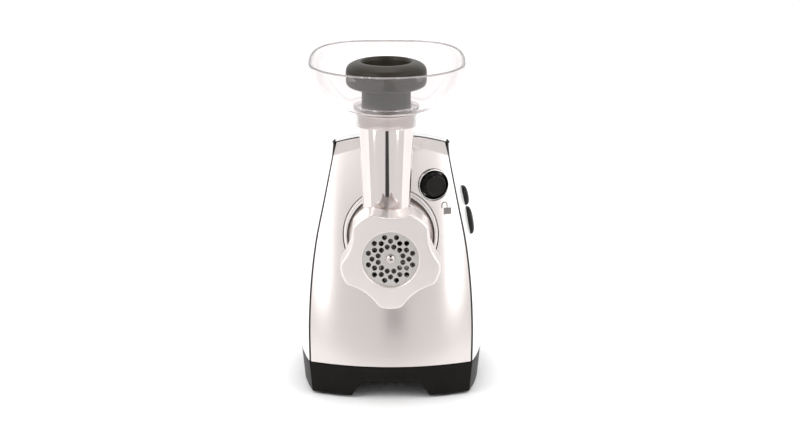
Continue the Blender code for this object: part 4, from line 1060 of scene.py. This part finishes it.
NUT_LOBES = 5
NUT_STEPS = 60                             # points to a lobe
NUT_LOBE = ((-36, 39.5), (-28, 40.3), (-20, 42.7), (-14, 45.9), (-11.5, 46.9), (0, 47.5), (11.5, 46.9),
            (14, 45.9), (20, 42.7), (28, 40.3), (36, 39.5))
NUT_OUTSIDE = (                            # inset, depth
    (0.7, 34), (0.0, 33.3), (0.0, 32.9), (0.0, 2.1), (0.0, 1.8), (0.2, 1.2), (1.2, 0.2), (1.8, 0.0),
    (2.2, 0.0),
)
NUT_INSIDE = (                             # radius, depth
    (27.6, 0.0), (27.2, 0.0), (26.7, 0.15), (26.4, 0.6), (26.4, 3.4), (34.5, 3.4), (34.5, 33.4),
    (35.1, 34),
)


def lobe_r(angle):
    """Outer radius of the nut, from the angle off the middle of the nearest lobe."""
    return smooth_through(NUT_LOBE, math.degrees(angle) * MM) / MM


def nut_ring(radius_of, depth):
    ring = []
    for lobe in range(NUT_LOBES):
        middle = math.tau / NUT_LOBES * lobe - math.pi / 2
        for k in range(NUT_STEPS):
            off = math.radians(72 * k / NUT_STEPS - 36)
            radius = radius_of(off) * MM
            ring.append((radius * math.cos(middle + off), radius * math.sin(middle + off), -depth * MM))
    return ring


nut_rings = [nut_ring(lambda off: lobe_r(off) - inset, depth) for inset, depth in NUT_OUTSIDE]
nut_rings += [nut_ring(lambda off: radius, depth) for radius, depth in NUT_INSIDE]
nut_metal = Finish("satin aluminium", metallic=0.62)
nut_grain = nut_metal.grain(1400.0, detail=5.0)
nut_cloud = nut_metal.grain(45.0)
nut_metal.feed("Base Color", nut_metal.shades(nut_cloud, (0.74, 0.685, 0.665), (0.78, 0.725, 0.705)))
nut_metal.feed("Roughness", 0.26 + 0.10 * nut_grain)
nut_metal.bump(nut_grain, 0.03 * MM, 0.25)
nut = ringed("ring_nut_body", nut_rings, on_barrel_axis(NUT_FACE_Y), FRONT, ends=False, joined=True)
dress(nut, nut_metal, "nut", "ring_nut", slot="head_aluminium", crease=40)


# Food tray -----------------------------------------------------------------------------
# A clear moulded bowl, a half round in front and squarer behind, with a rolled rim. The
# collar in its floor drops over the mouth of the feed tube.

TRAY_X = -3.5 * MM
TRAY_RIM_Z = 330 * MM
TRAY_HALF_WIDTH = 73.8 * MM
TRAY_WIDEST_Y = -66 * MM
TRAY_REAR_Y = 50 * MM
TRAY_SKIN = 1.8 * MM
TRAY_FLOOR_Z = TUBE_MOUTH_Z + 0.3 * MM
TRAY_FLOOR_R = 29.4 * MM
TRAY_SQUARE = 3.2                          # how square the rim is behind, 2 being round
TRAY_STEPS = 160
BEAD_R = 0.75 * MM
BEAD_STEPS = 14


def tray_plan(u):
    """The rim: a half round in front, a squarer curve behind."""
    angle = math.tau * u
    behind = math.sin(angle) > 0
    reach = TRAY_REAR_Y - TRAY_WIDEST_Y if behind else TRAY_HALF_WIDTH
    power = 2 / TRAY_SQUARE if behind else 1.0
    x = math.copysign(abs(math.cos(angle)) ** power, math.cos(angle)) * TRAY_HALF_WIDTH
    y = math.copysign(abs(math.sin(angle)) ** power, math.sin(angle)) * reach
    return Vector((TRAY_X + x, TRAY_WIDEST_Y + y, 0.0))


def tray_surface(u, t):
    """The bowl's outer face, from the ring round the tube up to the rim."""
    swing = t * math.pi / 2
    angle = math.tau * u
    floor = TUBE_SPOT + TRAY_FLOOR_R * Vector((math.cos(angle), math.sin(angle), 0.0))
    point = floor.lerp(tray_plan(u), math.sin(swing))
    point.z = mix(TRAY_FLOOR_Z + 0.5 * MM, TRAY_RIM_Z, (1 - math.cos(swing)) ** 0.9)
    return point


clear = Finish("clear plastic", Transmission_Weight=0.975, IOR=1.46)
clear.feed("Base Color", clear.shades(clear.grain(25.0), (0.915, 0.885, 0.885), (0.94, 0.91, 0.91)))
clear.feed("Roughness", 0.02 + 0.05 * clear.grain(60.0))
clear.bump(clear.grain(28.0), 0.10 * MM, 0.10)
bowl = skin("food_tray_bowl", tray_surface, TRAY_STEPS, 26, TRAY_SKIN, ease=0.4 * MM, closed=True)
dress(bowl, clear, "tray", "food_tray", slot="clear_tray", crease=40)

rim_line = [tray_plan(i / TRAY_STEPS) for i in range(TRAY_STEPS)]
bead_rings = []
for k in range(BEAD_STEPS):
    swing = math.tau * k / BEAD_STEPS
    ring = []
    for i, point in enumerate(rim_line):
        run = (rim_line[(i + 1) % TRAY_STEPS] - rim_line[i - 1]).normalized()
        inward = Vector((-run.y, run.x, 0.0))
        offset = inward * (BEAD_R * math.cos(swing) + 0.5 * MM)
        lift = TRAY_RIM_Z - BEAD_R + BEAD_R * math.sin(swing)
        ring.append((point.x + offset.x, point.y + offset.y, lift))
    bead_rings.append(ring)
bead = ringed("food_tray_rim", bead_rings, ends=False, joined=True)
rim_haze = Finish("hazy rim", Transmission_Weight=0.75, IOR=1.46)
rim_haze.feed("Base Color", rim_haze.shades(rim_haze.grain(60.0), (0.62, 0.585, 0.575), (0.72, 0.69, 0.68)))
rim_haze.feed("Roughness", 0.18 + 0.14 * rim_haze.grain(300.0))
dress(bead, rim_haze, "tray", slot="clear_tray", crease=60)

COLLAR = ((30.9, 5.4), (30.9, 0), (28.6, 0), (28.6, -13), (26.6, -13), (26.6, 0), (24.3, 0), (24.3, 5.4))
collar = turned("food_tray_collar", eased(in_metres(COLLAR), 0.4 * MM, 3),
                (TUBE_SPOT.x, TUBE_SPOT.y, TRAY_FLOOR_Z), UP, 112)
dress(collar, clear, "tray", slot="clear_tray", crease=40)


# Pusher --------------------------------------------------------------------------------
# A dark olive moulding, hollow from the top: a fat rolled ring for the hand on a stem that
# slides down the feed tube.

PUSHER_TOP_Z = 336.0
PUSHER_PROFILE = (
    (0, -137.5), (17.0, -137.5), (20.4, -30), (22.6, -3), (24.0, 0), (28.0, -0.5), (32.5, -2.0),
    (35.8, -4.2), (37.5, -7.0), (38.0, -11.0), (37.6, -20.0), (36.4, -22.6), (33.5, -24.2),
    (23.0, -25.0), (23.0, -47.0), (19.5, -139.0), (18.8, -140.0), (0, -140.0),
)
olive = Finish("dark olive plastic", Specular_IOR_Level=0.2)
olive_cloud = olive.grain(35.0)
olive.feed("Base Color", olive.shades(olive_cloud, (0.018, 0.015, 0.011), (0.030, 0.026, 0.019)))
olive.feed("Roughness", 0.34 + 0.12 * olive.grain(1300.0))
olive.bump(olive.grain(2000.0), 0.03 * MM, 0.25)
pusher_profile = in_metres((radius, PUSHER_TOP_Z + z) for radius, z in PUSHER_PROFILE)
pusher = turned("pusher_body", eased(pusher_profile, 0.9 * MM, 3), TUBE_SPOT, UP, 112)
dress(pusher, olive, "pusher", "pusher", slot="pusher_plastic", crease=50)


# Gear case and motor -------------------------------------------------------------------
# What stands inside the casing: a cast gear case round the nylon gears, and a wound motor
# below and behind them, with its stampings, its copper and its fan.

case_metal = Finish("die cast case", metallic=1.0)
case_pits = case_metal.grain(700.0, detail=6.0)
case_metal.feed("Base Color", case_metal.shades(case_pits, (0.48, 0.47, 0.46), (0.60, 0.59, 0.58)))
case_metal.feed("Roughness", 0.40 + 0.18 * case_pits)
case_metal.bump(case_pits, 0.15 * MM, 0.5)
finish_nodes(case_metal, "gear_case_front", "gear_case_rear", "motor_bracket_front", "motor_bracket_rear",
             "motor_cradle")
finish_nodes(bright_steel, "idler_axle", "shaft_bearing_front", "shaft_bearing_rear",
             *[f"cradle_screw_{i}" for i in range(1, 5)])

laminated = Finish("stacked stampings", metallic=1.0)
stack_lines = laminated.node("TexWave", {"bands_direction": "Y"},
                             {"Vector": laminated.place(), "Scale": 320.0, "Distortion": 0.4}, "Fac")
laminated.feed("Base Color", laminated.shades(stack_lines, (0.22, 0.21, 0.20), (0.42, 0.41, 0.40)))
laminated.feed("Roughness", 0.45 + 0.15 * stack_lines)
finish_nodes(laminated, "motor_stator", "armature_core")

copper = Finish("enamelled copper", metallic=0.85)
strands = copper.node("TexWave", {"bands_direction": "DIAGONAL"},
                      {"Vector": copper.place(), "Scale": 420.0, "Distortion": 1.5}, "Fac")
copper.feed("Base Color", copper.shades(strands, (0.30, 0.09, 0.035), (0.62, 0.24, 0.11)))
copper.feed("Roughness", 0.28 + 0.16 * strands)
copper.bump(strands, 0.2 * MM, 0.6)
finish_nodes(copper, "field_coil_upper", "field_coil_lower", "armature_winding_front",
             "armature_winding_rear", "commutator")
finish_nodes(nylon, "cooling_fan")
